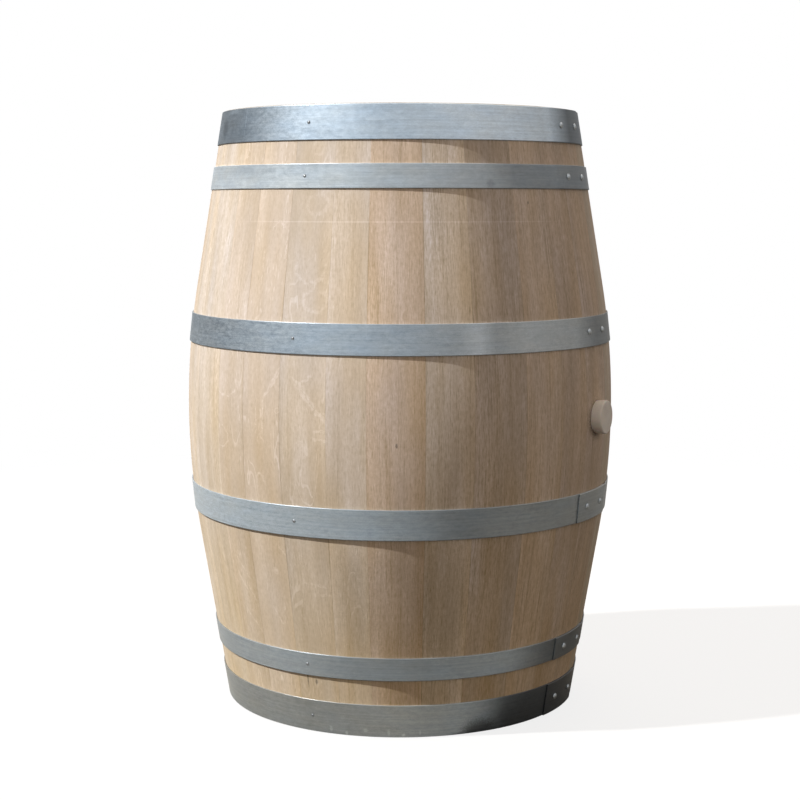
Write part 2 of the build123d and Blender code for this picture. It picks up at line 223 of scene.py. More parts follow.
# Pale ray flecks: angle in degrees, height, half width, half height and the line's width. Some
# go on with the tilt in degrees, the power, the lowest and highest share of the half height
# that is drawn, and the strength.
RAY_FLECKS = (
    (-97.0, 0.761, 0.018, 0.019, 0.0014, 0, 1.1, 0.35, 1.2),
    (-85.5, 0.804, 0.018, 0.015, 0.0046, 5, 2.0, -1.3, 0.9, 0.72),
    (-86.4, 0.712, 0.025, 0.022, 0.0042, 0, 2.3, -1.3, 0.5, 0.72),
    (-84.5, 0.664, 0.019, 0.016, 0.0046, 0, 2.0, -1.3, 0.9, 0.72),
    (-101.5, 0.710, 0.0003, 0.020, 0.0010),
    (-94.3, 0.745, 0.0003, 0.018, 0.0010),
    (-112.6, 0.530, 0.024, 0.014, 0.0018, 0, 2.0, -1.3, -0.1),
    (-117.3, 0.520, 0.0004, 0.034, 0.0012),
    (-114.2, 0.453, 0.016, 0.017, 0.0022, 0, 1.6),
    (-95.6, 0.544, 0.0010, 0.026, 0.0022, -34),
    (-98.8, 0.492, 0.0004, 0.021, 0.0015, -3),
    (-99.6, 0.440, 0.006, 0.025, 0.0016, 0, 1.6, 0.5),
    (-101.0, 0.488, 0.0003, 0.017, 0.0011),
    (-84.8, 0.514, 0.0020, 0.030, 0.0034, 41),
    (-82.0, 0.474, 0.008, 0.0012, 0.0022, 0, 2.0, -2.0, 2.0),
    (-82.2, 0.462, 0.009, 0.0012, 0.0024, -8, 2.0, -2.0, 2.0),
    (-86.6, 0.548, 0.0006, 0.011, 0.0024, -55),
    (-88.6, 0.545, 0.0006, 0.009, 0.0020, 50),
    (-94.2, 0.501, 0.0035, 0.0040, 0.0012),
    (-87.6, 0.455, 0.0045, 0.0040, 0.0014),
    (-99.8, 0.390, 0.008, 0.014, 0.0018, 15, 2.0, -0.3),
    (-98.2, 0.205, 0.014, 0.038, 0.0013, 12, 1.1, -1.3, 0.0),
    (-101.5, 0.242, 0.0003, 0.018, 0.0010),
    (-97.7, 0.254, 0.0025, 0.0020, 0.0052, 0, 2.0, -2.0, 2.0),
    (-94.9, 0.289, 0.0004, 0.009, 0.0013, 49),
    (-74.7, 0.240, 0.009, 0.023, 0.0020, 0, 2.0, -0.6),
    (-73.9, 0.196, 0.010, 0.016, 0.0016, -20, 2.0, -0.2),
    (-85.2, 0.239, 0.019, 0.0012, 0.0013, -3, 2.0, -2.0, 2.0),
    (-83.4, 0.225, 0.010, 0.0012, 0.0015, 4, 2.0, -2.0, 2.0),
    (-88.9, 0.276, 0.0080, 0.0080, 0.0013),
    (-110.3, 0.250, 0.0006, 0.016, 0.0014, 42),
    (-111.3, 0.226, 0.0006, 0.014, 0.0013, 38),
    (-108.2, 0.212, 0.0006, 0.013, 0.0014, 35),
    (-108.0, 0.162, 0.0006, 0.030, 0.0013, 47),
)
SCRIBED_LINE = (-61.0, 0.778, 0.187, 0.0004, 0.0010, 0, 2.0, -3.0, 3.0, 0.75)


def read_rows(items, name="co"):
    """A vector of each point or face of a mesh, one to a row."""
    rows = np.empty(len(items) * 3, np.float32)
    items.foreach_get(name, rows)
    return rows.reshape(-1, 3).astype(float)


def node_points(name):
    """The corners of a CAD node."""
    return read_rows(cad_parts[name].data.vertices)


STAVE_NODES = sorted(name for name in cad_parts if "stave" in name)
HEIGHT = CAD_BOX[1].z - CAD_BOX[0].z
MID_HEIGHT = HEIGHT / 2
STAVE_CORNERS = np.concatenate([node_points(name) for name in STAVE_NODES])
STAVE_REACH = np.hypot(STAVE_CORNERS[:, 0], STAVE_CORNERS[:, 1])
BILGE_RADIUS = float(STAVE_REACH.max())
CHIME_RADIUS = float(STAVE_REACH[STAVE_CORNERS[:, 2] < CHIME_FLAT / 10].max())
BEND_HALF_HEIGHT = MID_HEIGHT - STRAIGHT_END


def end_lean():
    """The angle by which a stave leans at its ends.

    With t as the tangent of half that angle, the bend falls by BEND_HALF_HEIGHT * t, and the
    straight end by STRAIGHT_END * 2 * t / (1 - t * t). Both together take the stave from the
    bilge to the chime, and repeated substitution solves that for t.
    """
    fall = BILGE_RADIUS - CHIME_RADIUS
    t = 0.0
    for _ in range(40):
        t = fall / (BEND_HALF_HEIGHT + 2 * STRAIGHT_END / (1 - t * t))
    return 2 * atan(t)


END_LEAN = end_lean()
BEND_RADIUS = BEND_HALF_HEIGHT / sin(END_LEAN)
BEND_CENTRE = BILGE_RADIUS - BEND_RADIUS


def wall_radius(z, depth=0.0):
    """Radius of the surface at that depth in the staves: an arc that runs on in straight lines."""
    up = np.abs(z - MID_HEIGHT)
    radius = BEND_RADIUS - depth
    bent = BEND_CENTRE + np.sqrt(radius**2 - up**2)
    straight = BEND_CENTRE + radius / cos(END_LEAN) - up * tan(END_LEAN)
    return np.where(up <= radius * sin(END_LEAN), bent, straight)


def wall_lean(z):
    """The angle by which the wall's outward normal points up: the arc's, up to the end lean."""
    return np.arcsin(np.clip((z - MID_HEIGHT) / BEND_RADIUS, -sin(END_LEAN), sin(END_LEAN)))


def end_height(end, distance):
    """Height of a point at that distance from the barrel's top or bottom end."""
    return MID_HEIGHT + end * (MID_HEIGHT - distance)


def wrap(angle):
    """The same angle between -pi and pi."""
    return (angle + pi) % (2 * pi) - pi


HEAD_INNER = HEAD_RECESS + HEAD_THICKNESS
TONGUE_INNER = HEAD_INNER - TONGUE_INSET
TONGUE_OUTER = TONGUE_INNER - TONGUE_THICKNESS
CROZE_RADIUS = float(wall_radius(TONGUE_INNER, STAVE_THICKNESS)) + CROZE_DEPTH
HEAD_RADIUS = CROZE_RADIUS - CROZE_CLEARANCE
TONGUE_RADIUS = HEAD_RADIUS - CROZE_DEPTH - TONGUE_MARGIN
FLAT_RADIUS = HEAD_RADIUS - HEAD_BEVEL


def around_axis(radius, turn, z):
    """Points at that radius, angle and height about the barrel's axis."""
    return np.stack(np.broadcast_arrays(radius * np.cos(turn), radius * np.sin(turn), z), -1)


def rounded_line(points, radii, steps=4):
    """A two-dimensional line whose inner corners are arcs of the given radii.

    At a corner with a turn of a, an arc of radius r starts r * tan(a / 2) before it. Its points
    are spread evenly over the turn.
    """
    points = np.asarray(points, float)
    made = [points[:1]]
    for before, corner, after, radius in zip(points, points[1:], points[2:], radii):
        into = (corner - before) / np.linalg.norm(corner - before)
        out = (after - corner) / np.linalg.norm(after - corner)
        turn = np.arctan2(into[0] * out[1] - into[1] * out[0], into @ out)
        side = np.sign(turn) * np.array([-into[1], into[0]])
        start = corner - into * radius * tan(abs(turn) / 2)
        angles = np.linspace(0, abs(turn), steps)[:, None]
        made.append(start + radius * (np.sin(angles) * into + (1 - np.cos(angles)) * side))
    made.append(points[-1:])
    return np.concatenate(made)


def loft(rings, caps=True):
    """Points and faces of a tube whose closed loops are the rows of rings.

    Neighbouring loops are joined by four-sided faces, and the first and last loop are capped.
    """
    stations, around = rings.shape[:2]
    corner = np.arange(stations * around).reshape(stations, around)
    here, there = corner[:-1], corner[1:]
    sides = np.stack([here, there, np.roll(there, -1, 1), np.roll(here, -1, 1)], -1)
    faces = sides.reshape(-1, 4).tolist()
    if caps:
        faces += [corner[0].tolist(), corner[-1][::-1].tolist()]
    return rings.reshape(-1, 3), faces


def new_object(name, data):
    """An object in the scene that holds a mesh, camera or lamp."""
    made = bpy.data.objects.new(name, data)
    bpy.context.scene.collection.objects.link(made)
    return made


def new_piece(name, points, faces, kinds=None, sharp=35.0, weld=False):
    """A mesh object in the scene, with its faces pointing outwards.

    kinds gives each face's material number. Edges that turn by more than sharp degrees stay
    crisp, and weld closes the poles, where a row of points shares one place.
    """
    mesh = bpy.data.meshes.new(name)
    mesh.from_pydata(points, [], faces)
    if kinds is not None:
        mesh.polygons.foreach_set("material_index", np.asarray(kinds, np.int32))
    work = bmesh.new()
    work.from_mesh(mesh)
    if weld:
        bmesh.ops.remove_doubles(work, verts=work.verts, dist=1e-7)
    bmesh.ops.recalc_face_normals(work, faces=work.faces)
    work.to_mesh(mesh)
    work.free()
    mesh.polygons.foreach_set("use_smooth", np.ones(len(mesh.polygons), bool))
    mesh.set_sharp_from_angle(angle=radians(sharp))
    mesh.update()
    return new_object(name, mesh)


def write_attributes(piece, **attributes):
    """Writes values or vectors, one for each point of a piece, for its material to read."""
    for name, values in attributes.items():
        values = np.asarray(values, np.float32)
        kind, part = ("FLOAT", "value") if values.ndim == 1 else ("FLOAT_VECTOR", "vector")
        attribute = piece.data.attributes.new(name, kind, "POINT")
        attribute.data.foreach_set(part, values.ravel())


def place_piece(piece, body, slot, *nodes, materials=()):
    """Gives a finished piece its materials and its body, and hides the nodes it stands for. The
    slot is not used.
    """
    for material in materials:
        piece.data.materials.append(material)
    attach(piece, body)
    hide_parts(*nodes)


class Value:
    """What a node puts out, on which sums, products and the like add nodes to its graph."""

    def __init__(self, graph, socket):
        self.graph = graph
        self.socket = socket

    def __getitem__(self, name):
        return Value(self.graph, self.socket.node.outputs[name])

    def __add__(self, other):
        return self.graph.math("ADD", self, other)

    def __sub__(self, other):
        return self.graph.math("SUBTRACT", self, other)

    def __rsub__(self, other):
        return self.graph.math("SUBTRACT", other, self)

    def __mul__(self, other):
        return self.graph.math("MULTIPLY", self, other)

    def __truediv__(self, other):
        return self.graph.math("DIVIDE", self, other)

    def __rtruediv__(self, other):
        return self.graph.math("DIVIDE", other, self)

    def __pow__(self, other):
        return self.graph.math("POWER", self, other)

    def __abs__(self):
        return self.graph.math("ABSOLUTE", self)

    def at_least(self, other):
        """The larger of this and another value."""
        return self.graph.math("MAXIMUM", self, other)

    def at_most(self, other):
        """The smaller of this and another value."""
        return self.graph.math("MINIMUM", self, other)


def is_vector(value):
    """Whether a value or a constant has three parts."""
    return isinstance(value, tuple) or isinstance(value, Value) and value.socket.type != "VALUE"


class Graph:
    """Short ways to add nodes to one tree and to join them."""

    def __init__(self, tree):
        self.tree = tree

    def feed(self, node, inputs):
        """Joins values to a node's inputs, or sets their own numbers, vectors and colours."""
        for name, value in inputs.items():
            socket = node.inputs[name]
            if isinstance(value, Value):
                self.tree.links.new(value.socket, socket)
            else:
                socket.default_value = (*value, 1.0) if socket.type == "RGBA" else value

    def node(self, kind, inputs=None, output=0, **settings):
        """A new node with its settings and inputs, as the value at one of its outputs."""
        node = self.tree.nodes.new("ShaderNode" + kind)
        for name, value in settings.items():
            setattr(node, name, value)
        self.feed(node, inputs or {})
        return Value(self, node.outputs[output])

    def math(self, operation, *values):
        """What an operation gives for one, two or three values or vectors."""
        inputs = dict(enumerate(values))
        if not any(is_vector(value) for value in values):
            return self.node("Math", inputs, operation=operation)
        output = "Value" if operation in ("LENGTH", "DOT_PRODUCT") else "Vector"
        return self.node("VectorMath", inputs, output, operation=operation)

    def split(self, vector):
        """The three parts of a vector."""
        parts = self.node("SeparateXYZ", {"Vector": vector})
        return parts["X"], parts["Y"], parts["Z"]

    def combine(self, x, y, z):
        """A vector from three parts."""
        return self.node("CombineXYZ", {"X": x, "Y": y, "Z": z})

    def noise(self, vector, rates, detail=2.0, roughness=0.5, distortion=0.0):
        """Soft noise with its own rate, in waves to the metre, along each part of a vector."""
        inputs = {"Vector": vector * rates, "Scale": 1.0, "Detail": detail}
        inputs.update({"Roughness": roughness, "Distortion": distortion})
        return self.node("TexNoise", inputs, "Fac")

    def step(self, value, low, high):
        """Rises smoothly from 0 to 1 while the value goes from low to high."""
        inputs = {"Value": value, "From Min": low, "From Max": high}
        return self.node("MapRange", inputs, "Result", interpolation_type="SMOOTHSTEP")

    def level(self, value, low, high):
        """Stretches a share from 0 to 1 to the range from low to high."""
        return self.node("MapRange", {"Value": value, "To Min": low, "To Max": high}, "Result")

    def mix(self, share, first, second):
        """A blend of two colours."""
        return self.node("Mix", {0: share, 6: first, 7: second}, 2, data_type="RGBA")

    def weigh(self, start, *terms):
        """start plus the sum of the given (value, weight, rest) terms, less each value's rest."""
        total = start
        for value, weight, rest in terms:
            total = self.math("MULTIPLY_ADD", value - rest, weight, total)
        return total

    def attribute(self, name, output="Vector"):
        """A value that is written on the piece's mesh."""
        return self.node("Attribute", {}, output, attribute_name=name, attribute_type="GEOMETRY")

    def place(self):
        """The place on the object."""
        return self.node("TexCoord", output="Object")

    def group(self, name, inputs):
        """A node group with its inputs fed."""
        return self.node("Group", inputs, node_tree=bpy.data.node_groups[name])


class Finish(Graph):
    """The graph of a new material, whose plain values sit on its Principled shader."""

    def __init__(self, name, metallic=0.0, specular=0.5, bump=0.0, depth=0.0002, **plain):
        self.material = bpy.data.materials.new(name)
        self.material.use_nodes = True
        super().__init__(self.material.node_tree)
        self.shader = self.tree.nodes["Principled BSDF"]
        inputs = {socket.replace("_", " "): value for socket, value in plain.items()}
        self.feed(self.shader, {"Metallic": metallic, "Specular IOR Level": specular, **inputs})
        self.bump = {"Strength": bump, "Distance": depth}

    def join(self, colour, roughness, height):
        """Joins a finish to the shader and gives back the material."""
        normal = self.node("Bump", {**self.bump, "Height": height}, "Normal")
        inputs = {"Base Color": colour, "Roughness": roughness, "Normal": normal}
        self.feed(self.shader, inputs)
        return self.material

    def show(self, shader):
        """Joins another shader to the surface and gives back the material."""
        self.feed(self.tree.nodes["Material Output"], {"Surface": shader})
        return self.material


FINISH = {"Color": ("Color",), "Float": ("Roughness", "Height")}


def new_group(name, inputs, outputs):
    """An empty node group: its graph, its inputs and its output node.

    inputs and outputs give the names of the sockets of each kind.
    """
    tree = bpy.data.node_groups.new(name, "ShaderNodeTree")
    for way, kinds in (("INPUT", inputs), ("OUTPUT", outputs)):
        for kind, sockets in kinds.items():
            for socket in sockets:
                tree.interface.new_socket(socket, in_out=way, socket_type="NodeSocket" + kind)
    graph = Graph(tree)
    source = Value(graph, tree.nodes.new("NodeGroupInput").outputs[0])
    return graph, source, tree.nodes.new("NodeGroupOutput")


def oak_figure():
    """Node group with the figure of quarter-sawn oak.

    Grain is a place in the board in metres: across, into and along it. Seam is the distance to
    the board's edge. Soft stripes and clouds blend the pale and the tan colour. Bands, the lines
    of the year rings, fibres and pores are drawn out along the board and change its brightness,
    less so where it has many ray flecks. The darker they are, the browner. Flecks are the
    contour lines of a slow noise, broken up by a second one, short dashes, and the share that
    comes in as Figure.
    """
    floats = ("Seam", "Tone", "Redness", "Fleck", "Figure")
    inputs = {"Vector": ("Grain",), "Float": floats, "Color": ("Light", "Dark")}
    g, source, sink = new_group("Oak figure", inputs, FINISH)
    across, depth, along = g.split(source["Grain"])
    sway = g.noise(source["Grain"], (7, 7, 1.6), detail=1.0)
    flow = g.combine(g.weigh(across, (sway, 0.016, 0.5)), depth, along)
    amount = source["Fleck"]

    stripes = g.noise(flow, (42, 42, 2.4), detail=1.0)
    clouds = g.noise(flow, (17, 17, 6), detail=3.0)
    warmth = g.noise(flow, (24, 24, 5), detail=1.0)
    bands = g.noise(flow, (120, 120, 7), detail=2.0, roughness=0.6)
    lines = g.noise(flow, (230, 230, 3.5), detail=2.0, roughness=0.65)
    rings = g.step(lines, 0.52, 0.70)
    fibres = g.noise(flow, (1000, 1000, 80), detail=1.0)
    nap = g.noise(flow, (240, 240, 150), detail=3.0, roughness=0.7)
    pores = g.step(g.noise(flow, (1300, 1300, 95), detail=0.0), 0.62, 0.74)

    wander = g.noise(flow, (26, 26, 6.5), detail=1.6, distortion=0.8)
    patches = g.step(g.noise(flow, (15, 15, 7.0), detail=1.0), 0.54, 0.66)
    thickness = g.level(g.noise(flow, (80, 80, 40), detail=1.0), 0.002, 0.020)
    contours = 0.0
    for contour in (0.41, 0.50, 0.58):
        line = 1.0 - g.step(abs(wander - contour) / thickness, 0.4, 1.0)
        contours = line.at_least(contours)
    dashes = g.step(g.noise(flow, (430, 430, 75), detail=0.0), 0.68, 0.78)
    dashed = g.step(g.noise(flow, (24, 24, 12), detail=1.0), 0.46, 0.60)
    flecks = (dashes * dashed * 0.8 + contours * patches).at_most(1.0) * amount
    flecks = flecks.at_least(source["Figure"])

    share = g.weigh(0.5, (stripes, 1.3, 0.5), (clouds, 1.3, 0.5), (flecks, 0.55, 0.0))
    colour = g.mix(share.at_least(0.0).at_most(1.25), source["Dark"], source["Light"])
    worn = g.step(g.noise(g.combine(0.0, 0.0, along), (1, 1, 5.0)), 0.44, 0.66)
    seam = (1.0 - g.step(source["Seam"], 0.0001, 0.0012)) * worn
    plain = g.weigh(1.0, (amount, -0.80, 0.0), (clouds, 1.2, 0.5))
    drawn = g.weigh(
        0.0, (bands, 0.38, 0.5), (lines, 0.80, 0.5), (rings, -0.36, 0.3), (fibres, 0.85, 0.5),
        (nap, 0.35, 0.5),
    )
    shade = drawn * plain + g.weigh(
        1.0, (nap, 0.28, 0.5), (pores, -0.12, 0.0), (seam, -0.36, 0.0), (flecks, 0.06, 0.0),
    )
    redness = source["Redness"]
    tint = g.combine(
        g.weigh(1.0, (redness, 0.02, 0.0), (warmth, 0.10, 0.5), (shade, -0.14, 1.0)),
        g.weigh(1.0, (redness, -0.025, 0.0), (warmth, -0.02, 0.5)),
        g.weigh(1.0, (redness, -0.06, 0.0), (warmth, -0.32, 0.5), (shade, 0.38, 1.0)),
    )
    g.feed(sink, {
        "Color": colour * (tint * (shade * source["Tone"])),
        "Roughness": g.weigh(0.66, (nap, 0.25, 0.5), (flecks, -0.10, 0.0)),
        "Height": g.weigh(0.5, (lines, 0.6, 0.5), (fibres, 0.5, 0.5), (pores, -0.5, 0.0)),
    })


def ray_fleck():
    """Node group with one ray fleck on the unrolled wall, as a share from 0 to 1.

    Place less Middle, turned back by Tilt and divided by Half, gives u and v. The fleck is the
    line where the power mean of u and v is 1: an ellipse for Power 2, a lozenge for Power 1. Its
    distance is what the mean lacks of 1, divided by the mean's slope. Only the part with v
    between Low and High is drawn.
    """
    floats = ("Tilt", "Power", "Low", "High", "Width")
    inputs = {"Vector": ("Place", "Middle", "Half"), "Float": floats}
    g, source, sink = new_group("Ray fleck", inputs, {"Float": ("Share",)})
    offset = {"Vector": source["Place"] - source["Middle"], "Angle": source["Tilt"] * -1.0}
    scaled = g.node("VectorRotate", offset, rotation_type="Z_AXIS") / source["Half"]
    height = g.split(scaled)[1]
    u, v, _ = g.split(abs(scaled))
    power = source["Power"]
    less = power - 1.0
    mean = ((u**power + v**power) ** (1.0 / power)).at_least(0.001)
    slope = g.math("LENGTH", g.combine(u**less, v**less, 0.0) / source["Half"]) / mean**less
    distance = abs(mean - 1.0) / slope
    line = 1.0 - g.step(distance / source["Width"], 0.2, 1.0)
    above = g.step(height - source["Low"], -0.15, 0.15)
    below = g.step(source["High"] - height, -0.15, 0.15)
    g.feed(sink, {"Share": line * (above * below)})


def fleck_share(
    g, where, angle, height, half_width, half_height, width,
    tilt=0.0, power=2.0, low=-1.3, high=1.3, strength=1.0,
):
    """The share of one ray fleck at each place, from a row of the table of flecks."""
    inputs = {
        "Place": where, "Middle": (radians(angle) * BILGE_RADIUS, height, 0.0),
        "Half": (half_width, half_height, 1.0), "Tilt": radians(tilt), "Power": power,
        "Low": low, "High": high, "Width": width,
    }
    return g.group("Ray fleck", inputs) * strength


def rows_within(rows, middle, half):
    """The rows of a table whose first entry, an angle in degrees, lies within a stave's span."""
    return [row for row in rows if abs(wrap(radians(row[0]) - middle)) < half]


def unrolled(g):
    """The place on the unrolled wall: its angle times the bilge radius, and its height."""
    x, y, z = g.split(g.place())
    return g.combine(g.math("ARCTAN2", y, x) * BILGE_RADIUS, z, 0.0)


def wall_flecks(g, flecks):
    """The share of the ray flecks and the scribed line at each place on the unrolled wall.

    Two noises push the place about by some millimetres, so that no fleck is regular, and a third
    one breaks the flecks up.
    """
    place = unrolled(g)
    turn, z, _ = g.split(place)
    aside = g.noise(place, (90, 90, 1), detail=3.0, roughness=0.6)
    upwards = g.noise(place + (7.0, 3.0, 0.0), (90, 90, 1), detail=3.0)
    aside = g.weigh(turn, (aside, 0.013, 0.5))
    pushed = g.combine(aside, g.weigh(z, (upwards, 0.013, 0.5)), 0.0)
    total = 0.0
    for row in flecks:
        total = fleck_share(g, pushed, *row).at_least(total)
    broken = g.step(g.noise(place, (140, 140, 1), detail=3.0, roughness=0.6), 0.30, 0.62)
    return fleck_share(g, place, *SCRIBED_LINE).at_least(broken * 0.85 * total)


def zinc_skin():
    """Node group with the skin of hot-dip galvanised strip.

    Strip is a place on the strip in metres, along and across it. Edges holds its distances to
    the upper edge, the lower edge and the nearer end. Rolling lines run along the strip, spangles
    are small cells that differ a little, and dark patches are slow noise. The upper edge is
    painted pale, as rubbed wear and as a painted highlight where light catches it, and the lower
    edge and the ends are darkened with dirt and painted shade.
    """
    floats = ("Tone", "Blueness", "Wear")
    inputs = {"Vector": ("Strip", "Edges"), "Float": floats, "Color": ("Light", "Dark")}
    g, source, sink = new_group("Zinc skin", inputs, FINISH)
    place = source["Strip"]
    upper, lower, end = g.split(source["Edges"])
    clouds = g.noise(place, (12, 24, 1), detail=4.0, roughness=0.6)
    rolling = g.noise(place, (7, 330, 1), detail=3.0, roughness=0.6)
    smears = g.noise(place, (22, 110, 1), detail=5.0, roughness=0.7)
    mottle = g.noise(place, (95, 190, 1), detail=5.0, roughness=0.8)
    grit = g.noise(place, (800, 800, 1), detail=2.0, roughness=0.7)
    hue = g.noise(place, (20, 45, 1), detail=3.0)
    cells = g.node("TexVoronoi", {"Vector": place * (150, 190, 1), "Scale": 1.0}, "Color")
    spangle = g.split(cells)[0]
    patches = g.step(smears, 0.42, 0.70) * g.step(clouds, 0.42, 0.64)
    scratches = g.step(g.noise(place, (12, 1500, 1), detail=1.0), 0.68, 0.74)
    marks = g.weigh(
        0.0, (clouds, 0.7, 0.5), (smears, 0.8, 0.5), (mottle, 1.4, 0.5), (grit, 0.9, 0.5),
        (patches, -0.5, 0.0),
    )
    share = marks * source["Wear"] + g.weigh(
        0.55, (rolling, 0.55, 0.5), (mottle, 0.22, 0.5), (grit, 0.5, 0.5), (spangle, 0.08, 0.5),
        (scratches, 0.10, 0.0),
    )
    # Painted highlight along the upper edge, together with rubbed wear
    rubbed_and_painted_highlight = 1.0 - g.step(upper, 0.0003, 0.0014)
    # Painted shade along the lower edge and the ends, together with dirt
    dirt_and_painted_shade = 1.0 - g.step(lower.at_most(end), 0.0003, 0.0013)
    share = g.weigh(share, (rubbed_and_painted_highlight, 0.5, 0.0), (dirt_and_painted_shade, -0.4, 0.0)).at_least(0.0).at_most(1.2)
    blueness = source["Blueness"]
    tint = g.combine(
        g.weigh(1.0, (blueness, -0.13, 0.0), (hue, -0.10, 0.5)),
        1.0,
        g.weigh(1.0, (blueness, 0.17, 0.0), (hue, 0.14, 0.5)),
    )
    g.feed(sink, {
        # Tone scales the zinc by each hoop's painted reflection and shade
        "Color": g.mix(share, source["Dark"], source["Light"]) * (tint * source["Tone"]),
        "Roughness": g.weigh(0.42, (clouds, 0.25, 0.5), (mottle, 0.30, 0.5), (rubbed_and_painted_highlight, -0.06, 0.0)),
        "Height": g.weigh(0.5, (rolling, 0.3, 0.5), (mottle, 0.6, 0.5), (grit, 0.4, 0.5)),
    })


def with_marks(g, colour, marks):
    """Darkens or lightens a colour at each mark, whether a real mark or painted shade.

    A mark is a ragged ellipse on the unrolled wall: the place, less the mark's own place, is
    divided by the ellipse's half sizes, and the length of what is left grows from 0 at its
    middle to 1 at its rim.
    """
    place = unrolled(g)
    ragged = g.noise(place, (420, 420, 1), detail=3.0)
    for angle, height, half_width, half_height, brightness in marks:
        offset = place - (radians(angle) * BILGE_RADIUS, height, 0.0)
        length = g.math("LENGTH", offset / (half_width, half_height, 1.0))
        rim = g.step(g.weigh(length, (ragged, 0.9, 0.5)), 0.35, 1.1)
        colour = colour * g.level(rim, brightness, 1.0)
    return colour


class WoodSettings(bpy.types.PropertyGroup):
    """Sizes and colours of the staves and heads."""

    arris: FloatProperty(
        name="Arris", description="Rounding of the long edges of staves and boards",
        default=0.0002, min=0.0001, max=0.002, precision=4, unit="LENGTH",
    )
    crown: FloatProperty(
        name="Crown", description="How far a stave's outer face falls away at its edges",
        default=0.00006, min=0.0, max=0.001, precision=5, unit="LENGTH",
    )
    unevenness: FloatProperty(
        name="Unevenness", description="How far a stave may lie behind its neighbours",
        default=0.00006, min=0.0, max=0.0006, precision=5, unit="LENGTH",
    )
    light: FloatVectorProperty(
        name="Pale oak", description="Colour of the pale bands and ray flecks",
        default=(0.700, 0.600, 0.495), min=0.0, max=1.0, subtype="COLOR",
    )
    dark: FloatVectorProperty(
        name="Dark oak", description="Colour of the dark bands",
        default=(0.545, 0.437, 0.310), min=0.0, max=1.0, subtype="COLOR",
    )
    end_light: FloatVectorProperty(
        name="Pale end grain", description="Colour of the pale parts of the stave ends",
        default=(0.47, 0.43, 0.38), min=0.0, max=1.0, subtype="COLOR",
    )
    end_dark: FloatVectorProperty(
        name="Dark end grain", description="Colour of the dark parts of the stave ends",
        default=(0.33, 0.285, 0.235), min=0.0, max=1.0, subtype="COLOR",
    )
    toast: FloatVectorProperty(
        name="Toast", description="Colour of the toasted inner face",
        default=(0.075, 0.038, 0.018), min=0.0, max=1.0, subtype="COLOR",
    )
    seed: IntProperty(
        name="Seed", description="Start of the random choices for the wood", default=7, min=0,
    )


class HoopSettings(bpy.types.PropertyGroup):
    """Sizes and colours of the hoops, rivets and nails."""

    edge: FloatProperty(
        name="Edge", description="Rounding of the strip's edges",
        default=0.0005, min=0.0001, max=0.0009, precision=4, unit="LENGTH",
    )
    waves: FloatProperty(
        name="Waves", description="How far the strip stands off the wood in its slow waves",
        default=0.00022, min=0.0, max=0.0006, precision=5, unit="LENGTH",
    )
    light: FloatVectorProperty(
        name="Pale zinc", description="Colour of clean zinc",
        default=(0.53, 0.56, 0.575), min=0.0, max=1.0, subtype="COLOR",
    )
    dark: FloatVectorProperty(
        name="Dull zinc", description="Colour of dark patches in the zinc",
        default=(0.20, 0.225, 0.24), min=0.0, max=1.0, subtype="COLOR",
    )


class BungSettings(bpy.types.PropertyGroup):
    """Looks of the bung."""

    colour: FloatVectorProperty(
        name="Silicone", description="Colour of the silicone",
        default=(0.93, 0.90, 0.87), min=0.0, max=1.0, subtype="COLOR",
    )
    dish: FloatProperty(
        name="Dish", description="Depth of the hollow in the bung's outer face",
        default=0.0003, min=0.0, max=0.001, precision=4, unit="LENGTH",
    )


class StageSettings(bpy.types.PropertyGroup):
    """Camera, lamps and floor."""

    lens: FloatProperty(
        name="Lens", description="Focal length", default=73.54, min=10.0, max=300.0,
        subtype="DISTANCE_CAMERA",
    )
    camera_distance: FloatProperty(
        name="Camera distance", description="From the barrel's axis to the camera, level",
        default=2.6856, min=0.5, unit="LENGTH",
    )
    camera_height: FloatProperty(
        name="Camera height", description="Height of the camera over the floor",
        default=0.8009, min=0.0, unit="LENGTH",
    )
    camera_turn: FloatProperty(
        name="Camera turn", description="Direction of the camera round the barrel, from -Y",
        default=radians(27.4), unit="ROTATION",
    )
    camera_pitch: FloatProperty(
        name="Camera pitch", description="How far the camera looks down",
        default=radians(6.77), unit="ROTATION",
    )
    sun_turn: FloatProperty(
        name="Sun turn", description="Direction of the sun round the barrel, from +X",
        default=radians(-135.9), unit="ROTATION",
    )
    sun_height: FloatProperty(
        name="Sun height", description="Angle of the sun over the floor",
        default=radians(45.4), unit="ROTATION",
    )
    sun_strength: FloatProperty(
        name="Sun strength", description="Strength of the sun", default=4.45, min=0.0,
    )
    back_strength: FloatProperty(
        name="Back light", description="Strength of the wide lamp behind the barrel",
        default=1.2, min=0.0,
    )
    sky_strength: FloatProperty(
        name="Sky strength", description="Strength of the soft light from all round",
        default=0.425, min=0.0,
    )
    floor_radius: FloatProperty(
        name="Floor radius", description="Radius of the round floor",
        default=14.0, min=1.0, unit="LENGTH",
    )


def attribute_figure(g, light, dark, **fixed):
    """The oak figure on a piece, from the attributes on its mesh and the inputs that are fixed."""
    tone, redness, fleck = g.split(g.attribute("traits"))
    inputs = {
        "Grain": g.attribute("grain"), "Seam": g.attribute("seam", "Fac"), "Tone": tone,
        "Redness": redness, "Fleck": fleck, "Light": light, "Dark": dark,
    }
    return g.group("Oak figure", {**inputs, **fixed})


# Painted warm bounce light on the staves: their tint, red, green and blue, at the floor and higher
# up
PAINTED_BOUNCE_TINT = ((1.0, 0.98), (0.96, 0.985), (0.86, 1.02))


